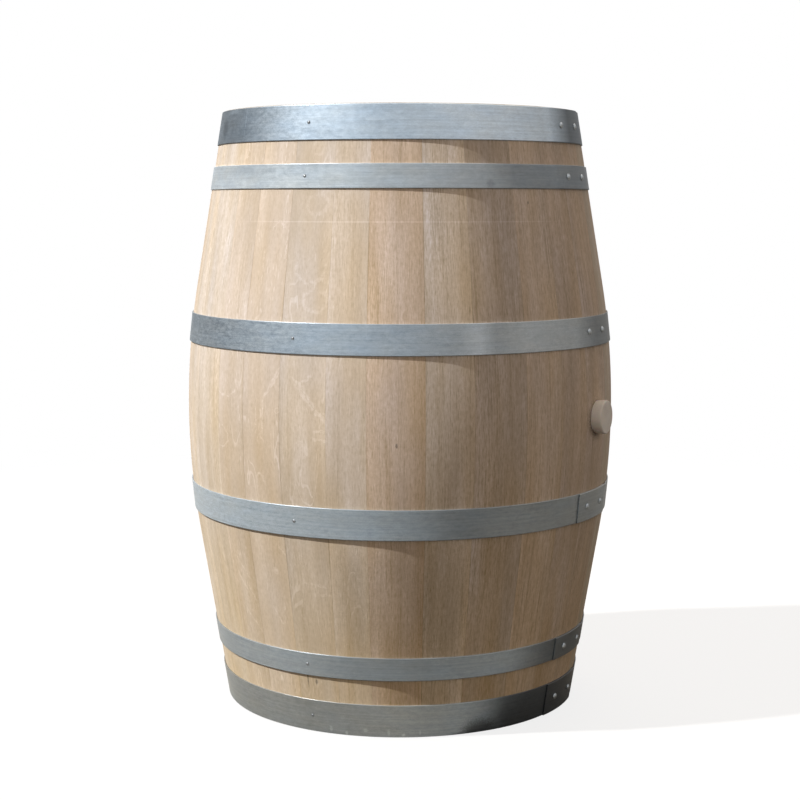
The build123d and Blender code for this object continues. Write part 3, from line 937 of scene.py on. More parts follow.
def outer_oak(name, wood, flecks=(), marks=()):
    """Sanded outer face of a stave, with painted warm bounce light towards the floor, and its own
    flecks and marks, some of them painted shade.
    """
    g = Finish(name, specular=0.35, bump=0.03)
    oak = attribute_figure(g, wood.light, wood.dark, Figure=wall_flecks(g, flecks))
    # Painted warm bounce light, strongest near the floor
    upper = g.step(g.split(g.place())[2], 0.0, 0.62 * HEIGHT)
    tint = g.combine(*(g.level(upper, low, high) for low, high in PAINTED_BOUNCE_TINT))
    return g.join(with_marks(g, oak["Color"], marks) * tint, oak["Roughness"], oak["Height"])


def end_oak(wood):
    """Sawn end grain of the chime, which is greyer, darker and rougher than the faces."""
    g = Finish("End grain", specular=0.3, bump=0.5)
    oak = attribute_figure(g, wood.end_light, wood.end_dark, Redness=0.0, Fleck=0.3)
    return g.join(oak["Color"], 0.78, oak["Height"])


def head_oak(wood):
    """Planed oak of the heads."""
    g = Finish("Head oak", specular=0.35, bump=0.3)
    oak = attribute_figure(g, wood.light, wood.dark)
    return g.join(oak["Color"], oak["Roughness"], oak["Height"])


def toasted_oak(wood):
    """Toasted inner face: brown, and blackened and blistered in patches."""
    g = Finish("Toasted oak", specular=0.25, bump=0.6, depth=0.0006)
    grain = g.attribute("grain")
    scorch = g.step(g.noise(grain, (40, 40, 12), detail=4.0), 0.35, 0.7)
    blisters = g.noise(grain, (320, 320, 90), detail=3.0)
    brown = g.mix(blisters, wood.toast, (0.19, 0.095, 0.045))
    colour = g.mix(scorch, brown, (0.022, 0.015, 0.012))
    return g.join(colour, g.level(blisters, 0.6, 0.9), blisters)


def burnt_oak():
    """Wall of the bung hole, sealed with a hot iron."""
    g = Finish("Burnt oak", specular=0.3, bump=0.5)
    char = g.noise(g.attribute("grain"), (260, 260, 60), detail=4.0)
    colour = g.mix(char, (0.10, 0.055, 0.03), (0.025, 0.018, 0.014))
    return g.join(colour, g.level(char, 0.5, 0.85), char)


def galvanised_steel(hoop):
    """Hot-dip galvanised strip."""
    g = Finish("Galvanised steel", metallic=0.7, specular=0.4, bump=0.25)
    # tone is the painted reflection and shade by angle round the hoop
    tone, blueness, wear = g.split(g.attribute("traits"))
    inputs = {
        "Strip": g.attribute("strip"), "Edges": g.attribute("edges"), "Tone": tone,
        "Blueness": blueness, "Wear": wear, "Light": hoop.light, "Dark": hoop.dark,
    }
    zinc = g.group("Zinc skin", inputs)
    colour = with_marks(g, zinc["Color"], HOOP_SCUFFS_AND_PAINTED_SHADE)
    return g.join(colour, zinc["Roughness"], zinc["Height"])


def pin_steel(name, light, dark, roughness):
    """Zinc plated steel of rivets or nails, scuffed by the hammer."""
    g = Finish(name, metallic=0.85, specular=0.5, bump=0.5)
    scuffs = g.noise(g.place(), (500, 500, 500), detail=3.0, roughness=0.65)
    colour = g.mix(g.step(scuffs, 0.35, 0.65), dark, light)
    return g.join(colour, g.level(scuffs, roughness - 0.12, roughness + 0.2), scuffs)


def silicone(bung):
    """Matt silicone with a little dust and the bloom of handling."""
    g = Finish("Silicone", specular=0.4, bump=0.2, Subsurface_Weight=0.15, Subsurface_Scale=0.004)
    place = g.place()
    bloom = g.noise(place, (60, 60, 60), detail=4.0)
    grit = g.noise(place, (2200, 2200, 2200), detail=2.0)
    dust = g.step(g.noise(place, (900, 900, 900), detail=1.0), 0.66, 0.74)
    worn = [part * 0.92 for part in bung.colour]
    colour = g.mix(g.step(bloom, 0.35, 0.7), bung.colour, worn)
    colour = g.mix(dust * 0.3, colour, (0.42, 0.36, 0.27))
    return g.join(colour, g.weigh(0.55, (bloom, 0.3, 0.5), (grit, 0.15, 0.5)), grit)


def plain_fibre(name, light, dark, rates):
    """Material of the rush strips or the dowels: fibres along one direction."""
    g = Finish(name, specular=0.3, bump=0.5)
    fibres = g.noise(g.place(), rates, detail=3.0, roughness=0.6)
    slow = g.noise(g.place(), (30, 30, 30), detail=2.0)
    share = g.weigh(0.5, (fibres, 1.6, 0.5), (slow, 0.8, 0.5))
    return g.join(g.mix(share, dark, light), g.level(fibres, 0.6, 0.85), fibres)


def side_offsets(arris):
    """Steps round a rounded edge: how far each lies from the side face and below the surface.

    An edge of radius a, at the angle t round it, lies a * (1 - sin(t)) from the side face and
    a * (1 - cos(t)) below the surface. The last step holds the surface flat beside the edge.
    """
    angles = np.radians([90.0, 65.0, 40.0, 20.0, 0.0])
    aside = arris * (1 - np.sin(angles))
    below = arris * (1 - np.cos(angles))
    return np.append(aside, arris * 1.4), np.append(below, 0.0)


def stations(low, high, spacing, arris):
    """Places from one side face to the other, and how far each lies below the surface."""
    aside, below = side_offsets(arris)
    count = max(3, int(round((high - low) / spacing)))
    inner = np.linspace(low + aside[-1], high - aside[-1], count + 1)[1:-1]
    places = np.concatenate([low + aside, inner, high - aside[::-1]])
    return places, np.concatenate([below, np.zeros(len(inner)), below[::-1]])


# How far from its ends a stave's outer and inner face begin, and the points up each of them
OUTER_START = 0.008
INNER_START = HEAD_INNER + 0.006
OUTER_POINTS = 88
INNER_POINTS = 64
# Distance between the points across a stave, and how much narrower it is than its CAD node
STAVE_SPACING = 0.008
STAVE_GAP = 0.00002
# How far the cutter of the bung hole reaches past both faces, and the sides of round shapes
CUTTER_EXCESS = 0.008
ROUND_SIDES = 96
# Kinds of face on a stave, which are also the numbers of their materials
OUTER_FACE, END_FACE, INNER_FACE, HOLE_FACE = range(4)


def stave_outline():
    """Outline of a stave in its middle plane, as radius and height, and the kind of each side.

    It goes up the outer face, round the rounded top end with its bevel and croze, down the inner
    face and round the bottom end.
    """
    croze_outer = TONGUE_OUTER - CROZE_CLEARANCE
    croze_inner = TONGUE_INNER + CROZE_CLEARANCE

    def inner_radius(distance):
        return float(wall_radius(distance, STAVE_THICKNESS))

    corners = [
        (float(wall_radius(OUTER_START)), OUTER_START),
        (CHIME_RADIUS, 0.0),
        (CHIME_RADIUS - CHIME_FLAT, 0.0),
        (inner_radius(CHIME_BEVEL), CHIME_BEVEL),
        (inner_radius(croze_outer), croze_outer),
        (CROZE_RADIUS, croze_outer),
        (CROZE_RADIUS, croze_inner),
        (inner_radius(croze_inner), croze_inner),
        (inner_radius(INNER_START), INNER_START),
    ]
    radii = (0.0016, 0.0012, 0.0012, 0.0004, 0.0004, 0.0004, 0.0004)
    end = rounded_line(corners, radii)
    top_end = end * (1, -1) + (0, HEIGHT)
    outer_z = np.linspace(OUTER_START, HEIGHT - OUTER_START, OUTER_POINTS)[1:-1]
    inner_z = np.linspace(INNER_START, HEIGHT - INNER_START, INNER_POINTS)[1:-1]
    outer = np.stack([wall_radius(outer_z), outer_z], -1)
    inner = np.stack([wall_radius(inner_z, STAVE_THICKNESS), inner_z], -1)[::-1]
    outline = np.concatenate([outer, top_end, inner, end[::-1]])
    lengths = (len(outer), len(end), len(inner), len(end))
    kinds = np.repeat((OUTER_FACE, END_FACE, INNER_FACE, END_FACE), lengths)
    kinds[len(outer)] = OUTER_FACE
    kinds[len(outer) + len(end) - 1] = INNER_FACE
    kinds[-1] = OUTER_FACE
    return outline, kinds


def line_normals(outline):
    """Outward normals of a closed line: its direction from neighbour to neighbour, turned."""
    along = np.roll(outline, -1, 0) - np.roll(outline, 1, 0)
    along /= np.linalg.norm(along, axis=1, keepdims=True)
    return np.stack([along[:, 1], -along[:, 0]], -1)


def stave_span(name):
    """The middle and the half width of a stave, as angles, from its CAD node."""
    points = node_points(name)
    middle = np.arctan2(points[:, 1].mean(), points[:, 0].mean())
    turned = wrap(np.arctan2(points[:, 1], points[:, 0]) - middle)
    return middle + (turned.max() + turned.min()) / 2, (turned.max() - turned.min()) / 2


def carve_stave(name, span, wood, behind):
    """A stave: the outline turned through the stave's width.

    Near its side faces the outline shrinks along its own normals, which rounds the long edges.
    The outer face falls away from its middle line as the square of the distance to it, and lies
    a little behind the hoops.
    """
    middle, half = span
    outline, kinds = stave_outline()
    reach = half * BILGE_RADIUS
    angle, below = stations(-reach, reach, STAVE_SPACING, wood.arris)
    angle = angle / BILGE_RADIUS * (1 - STAVE_GAP / reach)
    section = outline[None] - line_normals(outline)[None] * below[:, None, None]
    is_outer = (kinds == OUTER_FACE) | (np.roll(kinds, 1) == OUTER_FACE)
    fall = behind + wood.crown * (angle / half) ** 2
    radius = section[..., 0] - fall[:, None] * is_outer[None]
    points = around_axis(radius, (middle + angle)[:, None], section[..., 1])
    face_kinds = np.append(np.tile(kinds, len(angle) - 1), [END_FACE, END_FACE])
    return new_piece(name + "_wood", *loft(points), face_kinds, sharp=40.0)


def bore_bung_hole(piece):
    """Cuts the tapered bung hole through the bung stave, and marks the faces of its wall."""
    reach = np.array([-STAVE_THICKNESS - CUTTER_EXCESS, CUTTER_EXCESS])[:, None]
    radii = bung_radius(reach) + BUNG_CLEARANCE
    turn = np.linspace(0, 2 * pi, ROUND_SIDES, endpoint=False)
    rings = np.stack(np.broadcast_arrays(
        BILGE_RADIUS + reach, radii * np.cos(turn), MID_HEIGHT + radii * np.sin(turn),
    ), -1)
    cutter = new_piece("bung_cutter", *loft(rings))
    cut = piece.modifiers.new("Bung hole", "BOOLEAN")
    cut.object = cutter
    cut.operation = "DIFFERENCE"
    cut.solver = "EXACT"
    graph = bpy.context.evaluated_depsgraph_get()
    bored = bpy.data.meshes.new_from_object(piece.evaluated_get(graph))
    piece.modifiers.clear()
    piece.data = bored
    bpy.data.objects.remove(cutter)
    centres = read_rows(bored.polygons, "center")
    from_axis = np.hypot(centres[:, 1], centres[:, 2] - MID_HEIGHT)
    across = np.abs(read_rows(bored.polygons, "normal")[:, 0]) < 0.3
    kinds = np.empty(len(bored.polygons), np.int32)
    bored.polygons.foreach_get("material_index", kinds)
    kinds[(from_axis < BUNG_OUTER_RADIUS) & across] = HOLE_FACE
    bored.polygons.foreach_set("material_index", kinds)


def write_stave_grain(piece, span, looks, shift):
    """Writes where each point lies in its stave, how far from a seam, and the stave's looks.

    The place across the stave is its angle from the stave's middle times the radius of the wall
    at its height, so that the grain stays parallel to the middle while the stave narrows.
    """
    middle, half = span
    x, y, z = read_rows(piece.data.vertices).T
    radius = np.hypot(x, y)
    turned = wrap(np.arctan2(y, x) - middle)
    wall = wall_radius(z)
    tone, redness, fleck, lean = looks
    traits = np.broadcast_arrays(tone * (1 + lean * turned / half), redness, fleck)
    write_attributes(
        piece, grain=np.stack([turned * wall, wall - radius, z], -1) + shift,
        seam=(half - np.abs(turned)) * radius, traits=np.stack(traits, -1),
    )


class BARREL_OT_staves(bpy.types.Operator):
    """Shape the thirty staves"""

    bl_idname = "barrel.staves"
    bl_label = "Shape staves"

    def execute(self, context):
        wood = context.scene.barrel_wood
        chance = np.random.default_rng(wood.seed)
        plain = outer_oak("Stave oak", wood)
        others = (end_oak(wood), toasted_oak(wood), burnt_oak())
        for number, name in enumerate(["bung_stave"] + STAVE_NODES[1:], start=1):
            behind = wood.unevenness * chance.uniform(0.1, 1.0)
            tone, redness = chance.uniform(0.86, 1.04), chance.uniform(-0.6, 0.9)
            guessed = (tone, redness, chance.uniform(0.0, 1.0), 0.0)
            shift = chance.uniform(0.0, 40.0, 3)
            span = stave_span(name)
            piece = carve_stave(name, span, wood, behind)
            if name == "bung_stave":
                bore_bung_hole(piece)
            write_stave_grain(piece, span, STAVE_LOOKS.get(number, guessed), shift)
            flecks = rows_within(RAY_FLECKS, *span)
            marks = rows_within(WOOD_MARKS_AND_PAINTED_SHADE, *span)
            outer = plain
            if flecks or marks:
                outer = outer_oak(f"Stave oak {number}", wood, flecks, marks)
            place_piece(piece, "barrel", "oak_staves", name, materials=(outer, *others))
        return {"FINISHED"}


def head_outline(radius):
    """How far each face of a head lies from the stave ends, at a distance from the axis."""
    shoulder = TONGUE_RADIUS - TONGUE_INSET
    outer = np.interp(radius, [FLAT_RADIUS, TONGUE_RADIUS], [HEAD_RECESS, TONGUE_OUTER])
    inner = np.interp(radius, [shoulder, TONGUE_RADIUS], [HEAD_INNER, TONGUE_INNER])
    return outer, inner


def board_columns(y):
    """The x values of a board's section at each y, from rim to rim.

    Each one but the middle ones lies where the section meets a circle about the axis, so that the
    rim, the tongue and the bevel are round. A circle that the section misses gives the middle.
    """
    bevel = np.linspace(TONGUE_RADIUS - TONGUE_INSET, FLAT_RADIUS, 6)
    circles = np.concatenate([
        [HEAD_RADIUS, TONGUE_RADIUS + 0.0003, TONGUE_RADIUS], bevel, [FLAT_RADIUS - 0.0004],
    ])
    reach = np.sqrt(np.maximum(circles[None] ** 2 - y[:, None] ** 2, 0.0))
    inner = reach[:, -1:] * np.linspace(1, 0, 9)[None, 1:]
    half = np.concatenate([reach, inner], 1)
    return np.concatenate([-half, half[:, -2::-1]], 1)


BOARD_SPACING = 0.007


def carve_board(name, end, wood):
    """A board of a head: its section across X at each y, from one long edge to the other."""
    low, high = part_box(name)
    y, below = stations(low.y, high.y, BOARD_SPACING, wood.arris)
    x = board_columns(y)
    outer, inner = head_outline(np.hypot(x, y[:, None]))
    outer = end_height(end, outer + below[:, None])
    inner = end_height(end, inner - below[:, None])
    x = np.concatenate([x, x[:, ::-1]], 1)
    z = np.concatenate([outer, inner[:, ::-1]], 1)
    points = np.stack(np.broadcast_arrays(x, y[:, None], z), -1)
    return new_piece(name + "_wood", *loft(points), sharp=25.0, weld=True)


class BARREL_OT_heads(bpy.types.Operator):
    """Shape the boards of both heads, and finish their rushes and dowels"""

    bl_idname = "barrel.heads"
    bl_label = "Shape heads"

    def execute(self, context):
        wood = context.scene.barrel_wood
        chance = np.random.default_rng(wood.seed + 1)
        oak = head_oak(wood)
        fillings = {
            "rushes": plain_fibre("Rush", (0.50, 0.40, 0.22), (0.24, 0.18, 0.09), (20, 600, 600)),
            "dowels": plain_fibre(
                "Dowel wood", (0.56, 0.42, 0.27), (0.38, 0.25, 0.14), (600, 30, 600),
            ),
        }
        for end, word in ((TOP, "top"), (BOTTOM, "bottom")):
            for number in range(1, 7):
                name = f"{word}_head_board_{number}"
                piece = carve_board(name, end, wood)
                x, y, z = read_rows(piece.data.vertices).T
                low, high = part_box(name)
                across = y - (low.y + high.y) / 2
                grain = np.stack([across, z, x], -1) + chance.uniform(0.0, 40.0, 3)
                seam = (high.y - low.y) / 2 - np.abs(across)
                tone, redness = chance.uniform(0.79, 0.90), chance.uniform(-0.4, 0.8)
                traits = np.tile((tone, redness, chance.uniform(0.1, 0.9)), (len(x), 1))
                write_attributes(piece, grain=grain, seam=seam, traits=traits)
                place_piece(piece, "barrel", "oak_heads", name, materials=[oak])
            for kind, material in fillings.items():
                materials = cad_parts[f"{word}_head_{kind}"].data.materials
                materials.clear()
                materials.append(material)
        return {"FINISHED"}


def hoop_waves(angle, number):
    """How far a hoop stands off the wood, as a share from 0 to 1: three slow sines added up."""
    sines = ((3, 1.7), (7, 2.9), (12, 4.3))
    return 0.5 + sum(np.sin(rate * angle + number * shift) for rate, shift in sines) / 6


def strip_section(width, edge, inset):
    """Closed section of the strip, as height over its inner face and place across its width.

    It is a box with rounded corners. inset shrinks it all round, as at the strip's ends.
    """
    edge_angles = np.radians([0.0, 30.0, 60.0, 90.0])
    side = width / 2 - edge
    quarter = np.stack([np.cos(edge_angles), np.sin(edge_angles)], -1) * (edge - inset)
    outer_top = quarter[::-1] + (HOOP_THICKNESS - edge, side)
    across = np.linspace(side * 0.985, -side * 0.985, FLAT_POINTS)
    flat = np.stack([np.full(FLAT_POINTS, HOOP_THICKNESS - inset), across], -1)
    outer_half = np.concatenate([outer_top, flat, (outer_top * (1, -1))[::-1]])
    inner_half = outer_half[::-1] * (-1, 1) + (HOOP_THICKNESS, 0)
    return np.concatenate([outer_half, inner_half])


# Points of a hoop's strip: round the wall, in the step, in the lap and across a flat face
ROUND_POINTS = 241
STEP_POINTS = 25
LAP_POINTS = 25
FLAT_POINTS = 9


def bend_hoop(name, number, hoop):
    """A hoop: the strip's section carried once round the wall and over its own inner end.

    The section lies on the cone that touches the wall at the hoop's middle. Its lift is 0 on the
    first turn, rises by one layer in the step as a smooth S, and stays there in the lap. Slow
    waves lift it a little more, alike in both layers, and so does the splay towards the edge
    away from the bilge. The upper hoops are mirrored.
    """
    end, inset, width, splay = HOOPS[name]
    z = end_height(end, inset + width / 2)
    radius = float(wall_radius(z))
    lean = float(wall_lean(z))
    lap = (RIVET_PITCH / 2 + LAP_END) / radius
    step = JOGGLE_LENGTH / radius
    gap = STRIP_GAP / radius
    step_start = 2 * pi - gap - step
    whole = 2 * pi - gap + 2 * lap
    aside, below = side_offsets(hoop.edge * 0.8)
    aside = aside / radius
    turn = np.concatenate([
        aside, np.linspace(aside[-1], step_start, ROUND_POINTS)[1:-1],
        np.linspace(step_start, step_start + step, STEP_POINTS),
        np.linspace(step_start + step, whole - aside[-1], LAP_POINTS)[1:-1],
        whole - aside[::-1],
    ])
    inset_at = np.zeros(len(turn))
    inset_at[:len(below)] = below
    inset_at[-len(below):] = below[::-1]
    share = np.clip((turn - step_start) / step, 0, 1)
    layer = share * share * (3 - 2 * share)
    angle = lap - gap - turn
    lift = HOOP_CLEARANCE + layer * LAYER_STEP + hoop.waves * hoop_waves(angle, number)
    section = np.stack([strip_section(width, hoop.edge, part) for part in inset_at])
    across = section[..., 1]
    out = lift[:, None] + section[..., 0] + splay * (0.5 + end * across / width)
    reach = radius + out * cos(lean) - across * sin(lean)
    if end == TOP:
        angle = -angle
    height = z + out * sin(lean) + across * cos(lean)
    rings = around_axis(reach, angle[:, None], height)
    piece = new_piece(name + "_steel", *loft(rings), sharp=50.0)

    along = np.repeat(turn[:, None] * radius, across.shape[1], 1)
    to_end = np.minimum(along, whole * radius - along)
    strip = np.stack([along + number * 7.0, across + number * 3.0, np.zeros_like(along)], -1)
    edges = np.stack([width / 2 - across, width / 2 + across, to_end], -1)
    blueness, wear, painted_reflections = HOOP_LOOKS[name]
    turned = np.degrees(wrap(angle))
    from_laps = np.abs(turned)
    # The first trait is painted reflection and shade by angle round the hoop
    looks = np.stack([
        np.interp(turned, PAINTED_REFLECTION_ANGLES, painted_reflections, period=360),
        np.interp(from_laps, BLUENESS_ANGLES, blueness[::-1]),
        np.interp(from_laps, WEAR_ANGLES, wear[::-1]),
    ], -1)
    traits = np.repeat(looks, across.shape[1], 0)
    write_attributes(
        piece, strip=strip.reshape(-1, 3), edges=edges.reshape(-1, 3), traits=traits,
    )
    return piece


class BARREL_OT_hoops(bpy.types.Operator):
    """Bend the six hoops round the staves"""

    bl_idname = "barrel.hoops"
    bl_label = "Bend hoops"

    def execute(self, context):
        hoop = context.scene.barrel_hoop
        steel = galvanised_steel(hoop)
        for number, name in enumerate(HOOPS, start=1):
            piece = bend_hoop(name, number, hoop)
            place_piece(piece, "barrel", "galvanised_hoops", name, materials=[steel])
        return {"FINISHED"}


def turned_pins(name, outline, places):
    """Copies of a turned pin, each at its own place on the wall.

    outline holds distances from the pin's axis and heights along it. A place is an angle, a
    height, a lift and a size. Each point is the place's origin, plus the outline's distance
    round the pin's axis, plus its height along the wall's normal.
    """
    angle, z, lift, size = np.asarray(places, float).T[..., None, None]
    lean = wall_lean(z)
    around = np.linspace(0, 2 * pi, PIN_SIDES, endpoint=False)[None, None]
    distance = outline[:, 0][None, :, None] * size
    height = outline[:, 1][None, :, None] * size + lift
    sideways = distance * np.cos(around)
    upwards = distance * np.sin(around)
    reach = wall_radius(z) + height * np.cos(lean) - upwards * np.sin(lean)
    points = np.stack([
        reach * np.cos(angle) - sideways * np.sin(angle),
        reach * np.sin(angle) + sideways * np.cos(angle),
        z + height * np.sin(lean) + upwards * np.cos(lean),
    ], -1)
    corners, faces = [], []
    for pin in points:
        rows, columns = loft(pin, caps=False)
        start = len(corners) * len(rows)
        corners.append(rows)
        faces += [[start + corner for corner in face] for face in columns]
    return new_piece(name, np.concatenate(corners), faces, sharp=40.0, weld=True)


def dome(radius, height, steps=9):
    """Outline of a domed head, from its rim to its top: an arc of a circle."""
    sphere = (radius**2 + height**2) / (2 * height)
    angles = np.linspace(np.arcsin(radius / sphere), 0, steps)
    return np.stack([sphere * np.sin(angles), height - sphere * (1 - np.cos(angles))], -1)


def hoop_places(angles_at, layers, hoop, seed):
    """Places on every hoop: angle, height, lift of that many layers, and a size near 1."""
    chance = np.random.default_rng(seed)
    places = []
    for number, (end, inset, width, splay) in enumerate(HOOPS.values(), start=1):
        z = end_height(end, inset + width / 2)
        for angle in angles_at(float(wall_radius(z))):
            waves = hoop.waves * float(hoop_waves(-end * angle, number))
            lift = layers * LAYER_STEP + splay / 2 + waves
            places.append((angle, z, lift, chance.uniform(0.96, 1.03)))
    return places


class BARREL_OT_rivets(bpy.types.Operator):
    """Set the two rivets of each lap"""

    bl_idname = "barrel.rivets"
    bl_label = "Set rivets"

    def execute(self, context):
        hoop = context.scene.barrel_hoop
        grip = 2 * HOOP_THICKNESS
        rim = 0.0007
        outline = np.concatenate([
            [(0, -grip), (RIVET_TAIL_RADIUS, -grip), (RIVET_RADIUS, RIVET_TAIL_HEIGHT - grip)],
            [(RIVET_RADIUS, 0), (RIVET_HEAD_RADIUS * 0.94, 0), (RIVET_HEAD_RADIUS, 0.0004)],
            dome(RIVET_HEAD_RADIUS * 0.985, RIVET_HEAD_HEIGHT - rim) + (0, rim),
        ])
        aside = RIVET_PITCH / 2
        places = hoop_places(lambda radius: (-aside / radius, aside / radius), 2, hoop, RIVET_SEED)
        piece = turned_pins("rivet_heads", outline, places)
        steel = pin_steel("Rivet steel", (0.54, 0.57, 0.59), (0.26, 0.29, 0.31), 0.30)
        place_piece(piece, "barrel", "rivets", "hoop_rivets", materials=[steel])
        return {"FINISHED"}


class BARREL_OT_nails(bpy.types.Operator):
    """Drive the three nails of each hoop"""

    bl_idname = "barrel.nails"
    bl_label = "Drive nails"

    def execute(self, context):
        hoop = context.scene.barrel_hoop
        rim = 0.0004
        outline = np.concatenate([
            [(0, -NAIL_LENGTH), (NAIL_RADIUS, NAIL_POINT - NAIL_LENGTH), (NAIL_RADIUS, 0)],
            [(NAIL_HEAD_RADIUS * 0.93, 0), (NAIL_HEAD_RADIUS, 0.0002)],
            dome(NAIL_HEAD_RADIUS * 0.98, NAIL_HEAD_HEIGHT - rim) + (0, rim),
        ])
        places = hoop_places(lambda radius: np.radians(NAIL_ANGLES), 1, hoop, NAIL_SEED)
        piece = turned_pins("nail_heads", outline, places)
        steel = pin_steel("Nail steel", (0.36, 0.37, 0.38), (0.10, 0.11, 0.12), 0.36)
        place_piece(piece, "barrel", "nails", "hoop_nails", materials=[steel])
        return {"FINISHED"}


def bung_radius(out):
    """Radius of the bung's taper at that distance out from the bilge."""
    taper = (BUNG_OUTER_RADIUS - BUNG_INNER_RADIUS) / BUNG_LENGTH
    return BUNG_OUTER_RADIUS - (BUNG_PROUD - out) * taper


class BARREL_OT_bung(bpy.types.Operator):
    """Turn the tapered bung"""

    bl_idname = "barrel.bung"
    bl_label = "Turn bung"

    def execute(self, context):
        bung = context.scene.barrel_bung
        inner_end = BUNG_PROUD - BUNG_LENGTH
        rim = bung_radius(BUNG_PROUD)
        floor = BUNG_PROUD - bung.dish
        middle = BUNG_PROUD - bung.dish / 3
        corners = [
            (0, inner_end), (bung_radius(inner_end), inner_end), (rim, BUNG_PROUD),
            (rim * DISH_SHARE, floor), (STUD_RADIUS, floor),
            (STUD_TOP_RADIUS, middle), (0, middle),
        ]
        radii = (BUNG_INNER_EDGE, BUNG_OUTER_EDGE, 0.003, 0.0004, 0.0004)
        outline = rounded_line(corners, radii, steps=8)
        outline[:, 0] = np.maximum(outline[:, 0], 0)
        piece = turned_pins("silicone_bung", outline, [(0.0, MID_HEIGHT, 0.0, 1.0)])
        place_piece(piece, "bung", "silicone", "bung", materials=[silicone(bung)])
        return {"FINISHED"}


WHITE = (1.0, 1.0, 1.0)
# Share of white in what the camera sees of the floor near the barrel
FLOOR_WHITENESS = 0.82


def make_sky(stage):
    """The world: a soft even light, and white for what the camera and reflections see."""
    world = bpy.data.worlds.new("Sky")
    world.use_nodes = True
    bpy.context.scene.world = world
    g = Graph(world.node_tree)
    soft = g.tree.nodes["Background"]
    g.feed(soft, {"Color": (1.0, 0.855, 0.715), "Strength": stage.sky_strength})
    white = g.node("Background", {"Color": WHITE, "Strength": 1.0})
    path = g.node("LightPath")
    seen = path["Is Camera Ray"].at_least(path["Is Glossy Ray"])
    seen = seen.at_least(path["Is Transmission Ray"])
    sky = g.node("MixShader", {0: seen, 1: Value(g, soft.outputs[0]), 2: white})
    g.feed(g.tree.nodes["World Output"], {"Surface": sky})


def make_floor(stage):
    """A round pale floor, which fades to white away from the barrel and keeps its shadow.

    Reflections see it grey, with painted shade that makes it duller to the camera's right, and
    soft light hardly comes back from it.
    """
    turn = np.linspace(0, 2 * pi, ROUND_SIDES, endpoint=False)
    reach = np.array([0.0, 1.0, 3.0, stage.floor_radius])[:, None]
    corners, faces = loft(around_axis(reach, turn, 0.0), caps=False)
    floor = new_piece("floor", corners, faces, weld=True)
    if floor.data.polygons[0].normal.z < 0:
        floor.data.flip_normals()
    g = Finish("Floor", specular=0.1, Roughness=0.9)
    place = g.place()
    path = g.node("LightPath")
    camera = path["Is Camera Ray"]
    to_right = (cos(stage.camera_turn), sin(stage.camera_turn), 0.0)
    # Painted shade: the floor seen in reflections grows darker to the camera's right
    side = g.step(g.math("DOT_PRODUCT", place, to_right), -0.5, 0.9)
    reflected_ground_painted_shade = g.mix(side, (0.57, 0.575, 0.555), (0.21, 0.21, 0.20))
    colour = g.mix(path["Is Glossy Ray"], (0.02, 0.015, 0.01), reflected_ground_painted_shade)
    g.feed(g.shader, {"Base Color": g.mix(camera, colour, (0.8, 0.8, 0.8))})
    far = g.step(g.math("LENGTH", place), 0.9, 2.6)
    share = (camera * FLOOR_WHITENESS).at_least(far * camera)
    plain = Value(g, g.shader.outputs[0])
    white = g.node("Emission", {"Color": WHITE, "Strength": 1.0})
    floor.data.materials.append(g.show(g.node("MixShader", {0: share, 1: plain, 2: white})))


SCREEN_RADIUS = 5.0
SCREEN_SIDES = 120
SCREEN_HEIGHTS = (-0.4, 3.6)
# Brightness and blueness of the screen by direction, in degrees round from the camera's side
SCREEN_BRIGHTNESS = {
    -180: 0.45, -130: 0.32, -112: 0.28, -85: 0.70, -62: 0.75, -42: 0.93, -24: 0.72, -6: 0.56,
    12: 0.66, 30: 0.56, 48: 0.68, 70: 0.58, 94: 0.56, 137: 0.32, 180: 0.45,
}
SCREEN_BLUENESS = {-180: 0.0, -90: 0.6, -20: 1.0, 30: -0.3, 180: -0.1}


def make_screen(stage):
    """A curved grey screen behind the camera's view that only reflections see.

    Its brightness follows the direction from the barrel: bright on the sun's side of the camera,
    dull to the right, and dark at both sides of the back.
    """
    turn = np.linspace(0, 2 * pi, SCREEN_SIDES + 1)
    points = around_axis(SCREEN_RADIUS, turn[:, None], np.array(SCREEN_HEIGHTS))
    start = np.arange(0, 2 * SCREEN_SIDES, 2)
    faces = np.stack([start, start + 1, start + 3, start + 2], -1).tolist()
    mesh = bpy.data.meshes.new("screen")
    mesh.from_pydata(points.reshape(-1, 3), [], faces)
    seen_from = np.degrees(wrap(turn - (stage.camera_turn - pi / 2)))
    bright, blue = (
        np.interp(seen_from, list(curve), list(curve.values()))[:, None]
        for curve in (SCREEN_BRIGHTNESS, SCREEN_BLUENESS)
    )
    screen = new_object("screen", mesh)
    glow = bright * (1 + blue * np.array([-0.14, 0.0, 0.12]))
    write_attributes(screen, glow=np.repeat(glow, 2, 0))
    g = Finish("Screen")
    shine = g.node("Emission", {"Color": g.attribute("glow", "Color"), "Strength": 1.0})
    mesh.materials.append(g.show(shine))
    screen.visible_camera = False
    screen.visible_diffuse = False
    screen.visible_transmission = False
    screen.visible_shadow = False


def make_camera(stage):
    """The camera, level with the upper part of the barrel and pitched down a little."""
    data = bpy.data.cameras.new("camera")
    data.lens = stage.lens
    data.clip_start = 0.05
    data.clip_end = 100.0
    camera = new_object("camera", data)
    turn = stage.camera_turn
    reach = stage.camera_distance
    camera.location = (reach * sin(turn), -reach * cos(turn), stage.camera_height)
    camera.rotation_euler = (pi / 2 - stage.camera_pitch, 0.0, turn)
    bpy.context.scene.camera = camera


def make_lamp(name, turn, height, strength, size, colour):
    """A distant lamp, which shines down its own -Z axis from that direction."""
    data = bpy.data.lights.new(name, "SUN")
    data.energy = strength
    data.angle = radians(size)
    data.color = colour
    new_object(name, data).rotation_euler = (0.0, pi / 2 - height, turn)


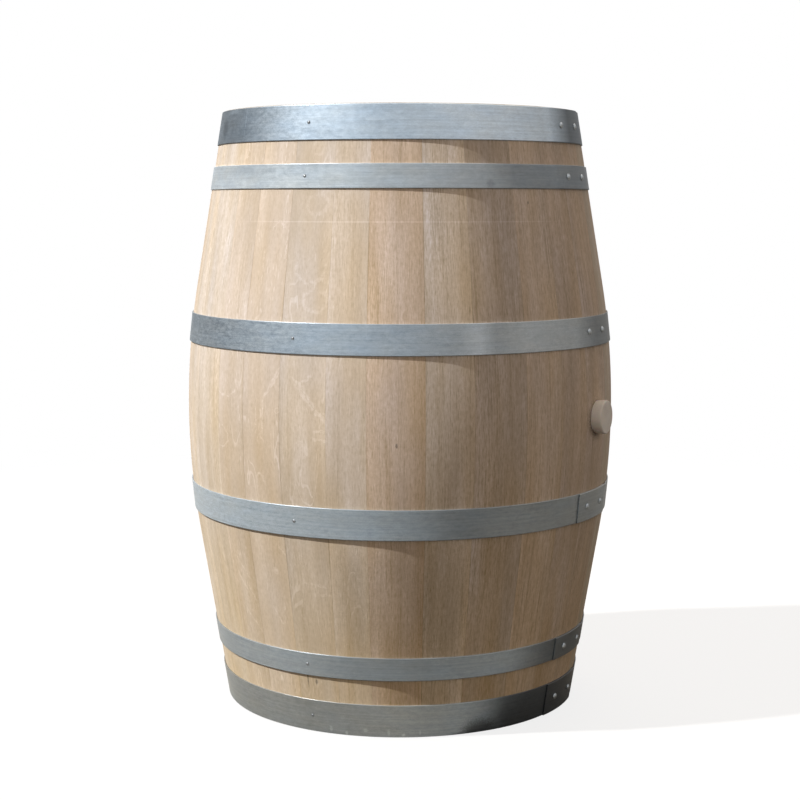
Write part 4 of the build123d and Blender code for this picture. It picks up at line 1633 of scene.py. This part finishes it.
class BARREL_OT_stage(bpy.types.Operator):
    """Set up the floor, the light and the camera"""

    bl_idname = "barrel.stage"
    bl_label = "Set the stage"

    def execute(self, context):
        stage = context.scene.barrel_stage
        behind = stage.camera_turn + pi / 2
        warm_white, amber = (1.0, 0.985, 0.955), (1.0, 0.82, 0.66)
        make_sky(stage)
        make_floor(stage)
        make_screen(stage)
        make_lamp("sun", stage.sun_turn, stage.sun_height, stage.sun_strength, 1.5, warm_white)
        make_lamp("back_light", behind, radians(35.0), stage.back_strength, 60.0, amber)
        make_camera(stage)
        context.scene.view_settings.view_transform = "Standard"
        return {"FINISHED"}


class BARREL_PT_panel(bpy.types.Panel):
    """Lists the barrel's settings and steps"""

    bl_label = "Oak barrel"
    bl_idname = "BARREL_PT_panel"
    bl_space_type = "VIEW_3D"
    bl_region_type = "UI"
    bl_category = "Barrel"

    def draw(self, context):
        for settings, operators in PANEL_ROWS:
            group = getattr(context.scene, settings)
            box = self.layout.box()
            for name in group.bl_rna.properties.keys():
                if name not in ("rna_type", "name"):
                    box.prop(group, name)
            for operator in operators:
                box.operator(operator.bl_idname)


PANEL_ROWS = (
    ("barrel_wood", (BARREL_OT_staves, BARREL_OT_heads)),
    ("barrel_hoop", (BARREL_OT_hoops, BARREL_OT_rivets, BARREL_OT_nails)),
    ("barrel_bung", (BARREL_OT_bung,)),
    ("barrel_stage", (BARREL_OT_stage,)),
)
SETTINGS = {
    "barrel_wood": WoodSettings,
    "barrel_hoop": HoopSettings,
    "barrel_bung": BungSettings,
    "barrel_stage": StageSettings,
}
CLASSES = (
    *SETTINGS.values(),
    *(operator for _, operators in PANEL_ROWS for operator in operators),
    BARREL_PT_panel,
)


def register():
    """Registers the classes and hangs the settings on the scene."""
    for part in CLASSES:
        bpy.utils.register_class(part)
    for name, settings in SETTINGS.items():
        setattr(bpy.types.Scene, name, PointerProperty(type=settings))


def unregister():
    """Takes back what register did."""
    for name in SETTINGS:
        delattr(bpy.types.Scene, name)
    for part in reversed(CLASSES):
        bpy.utils.unregister_class(part)


def main():
    register()
    oak_figure()
    ray_fleck()
    zinc_skin()
    bpy.ops.barrel.staves()
    bpy.ops.barrel.heads()
    bpy.ops.barrel.hoops()
    bpy.ops.barrel.rivets()
    bpy.ops.barrel.nails()
    bpy.ops.barrel.bung()
    bpy.ops.barrel.stage()


if __name__ == "__main__":
    main()
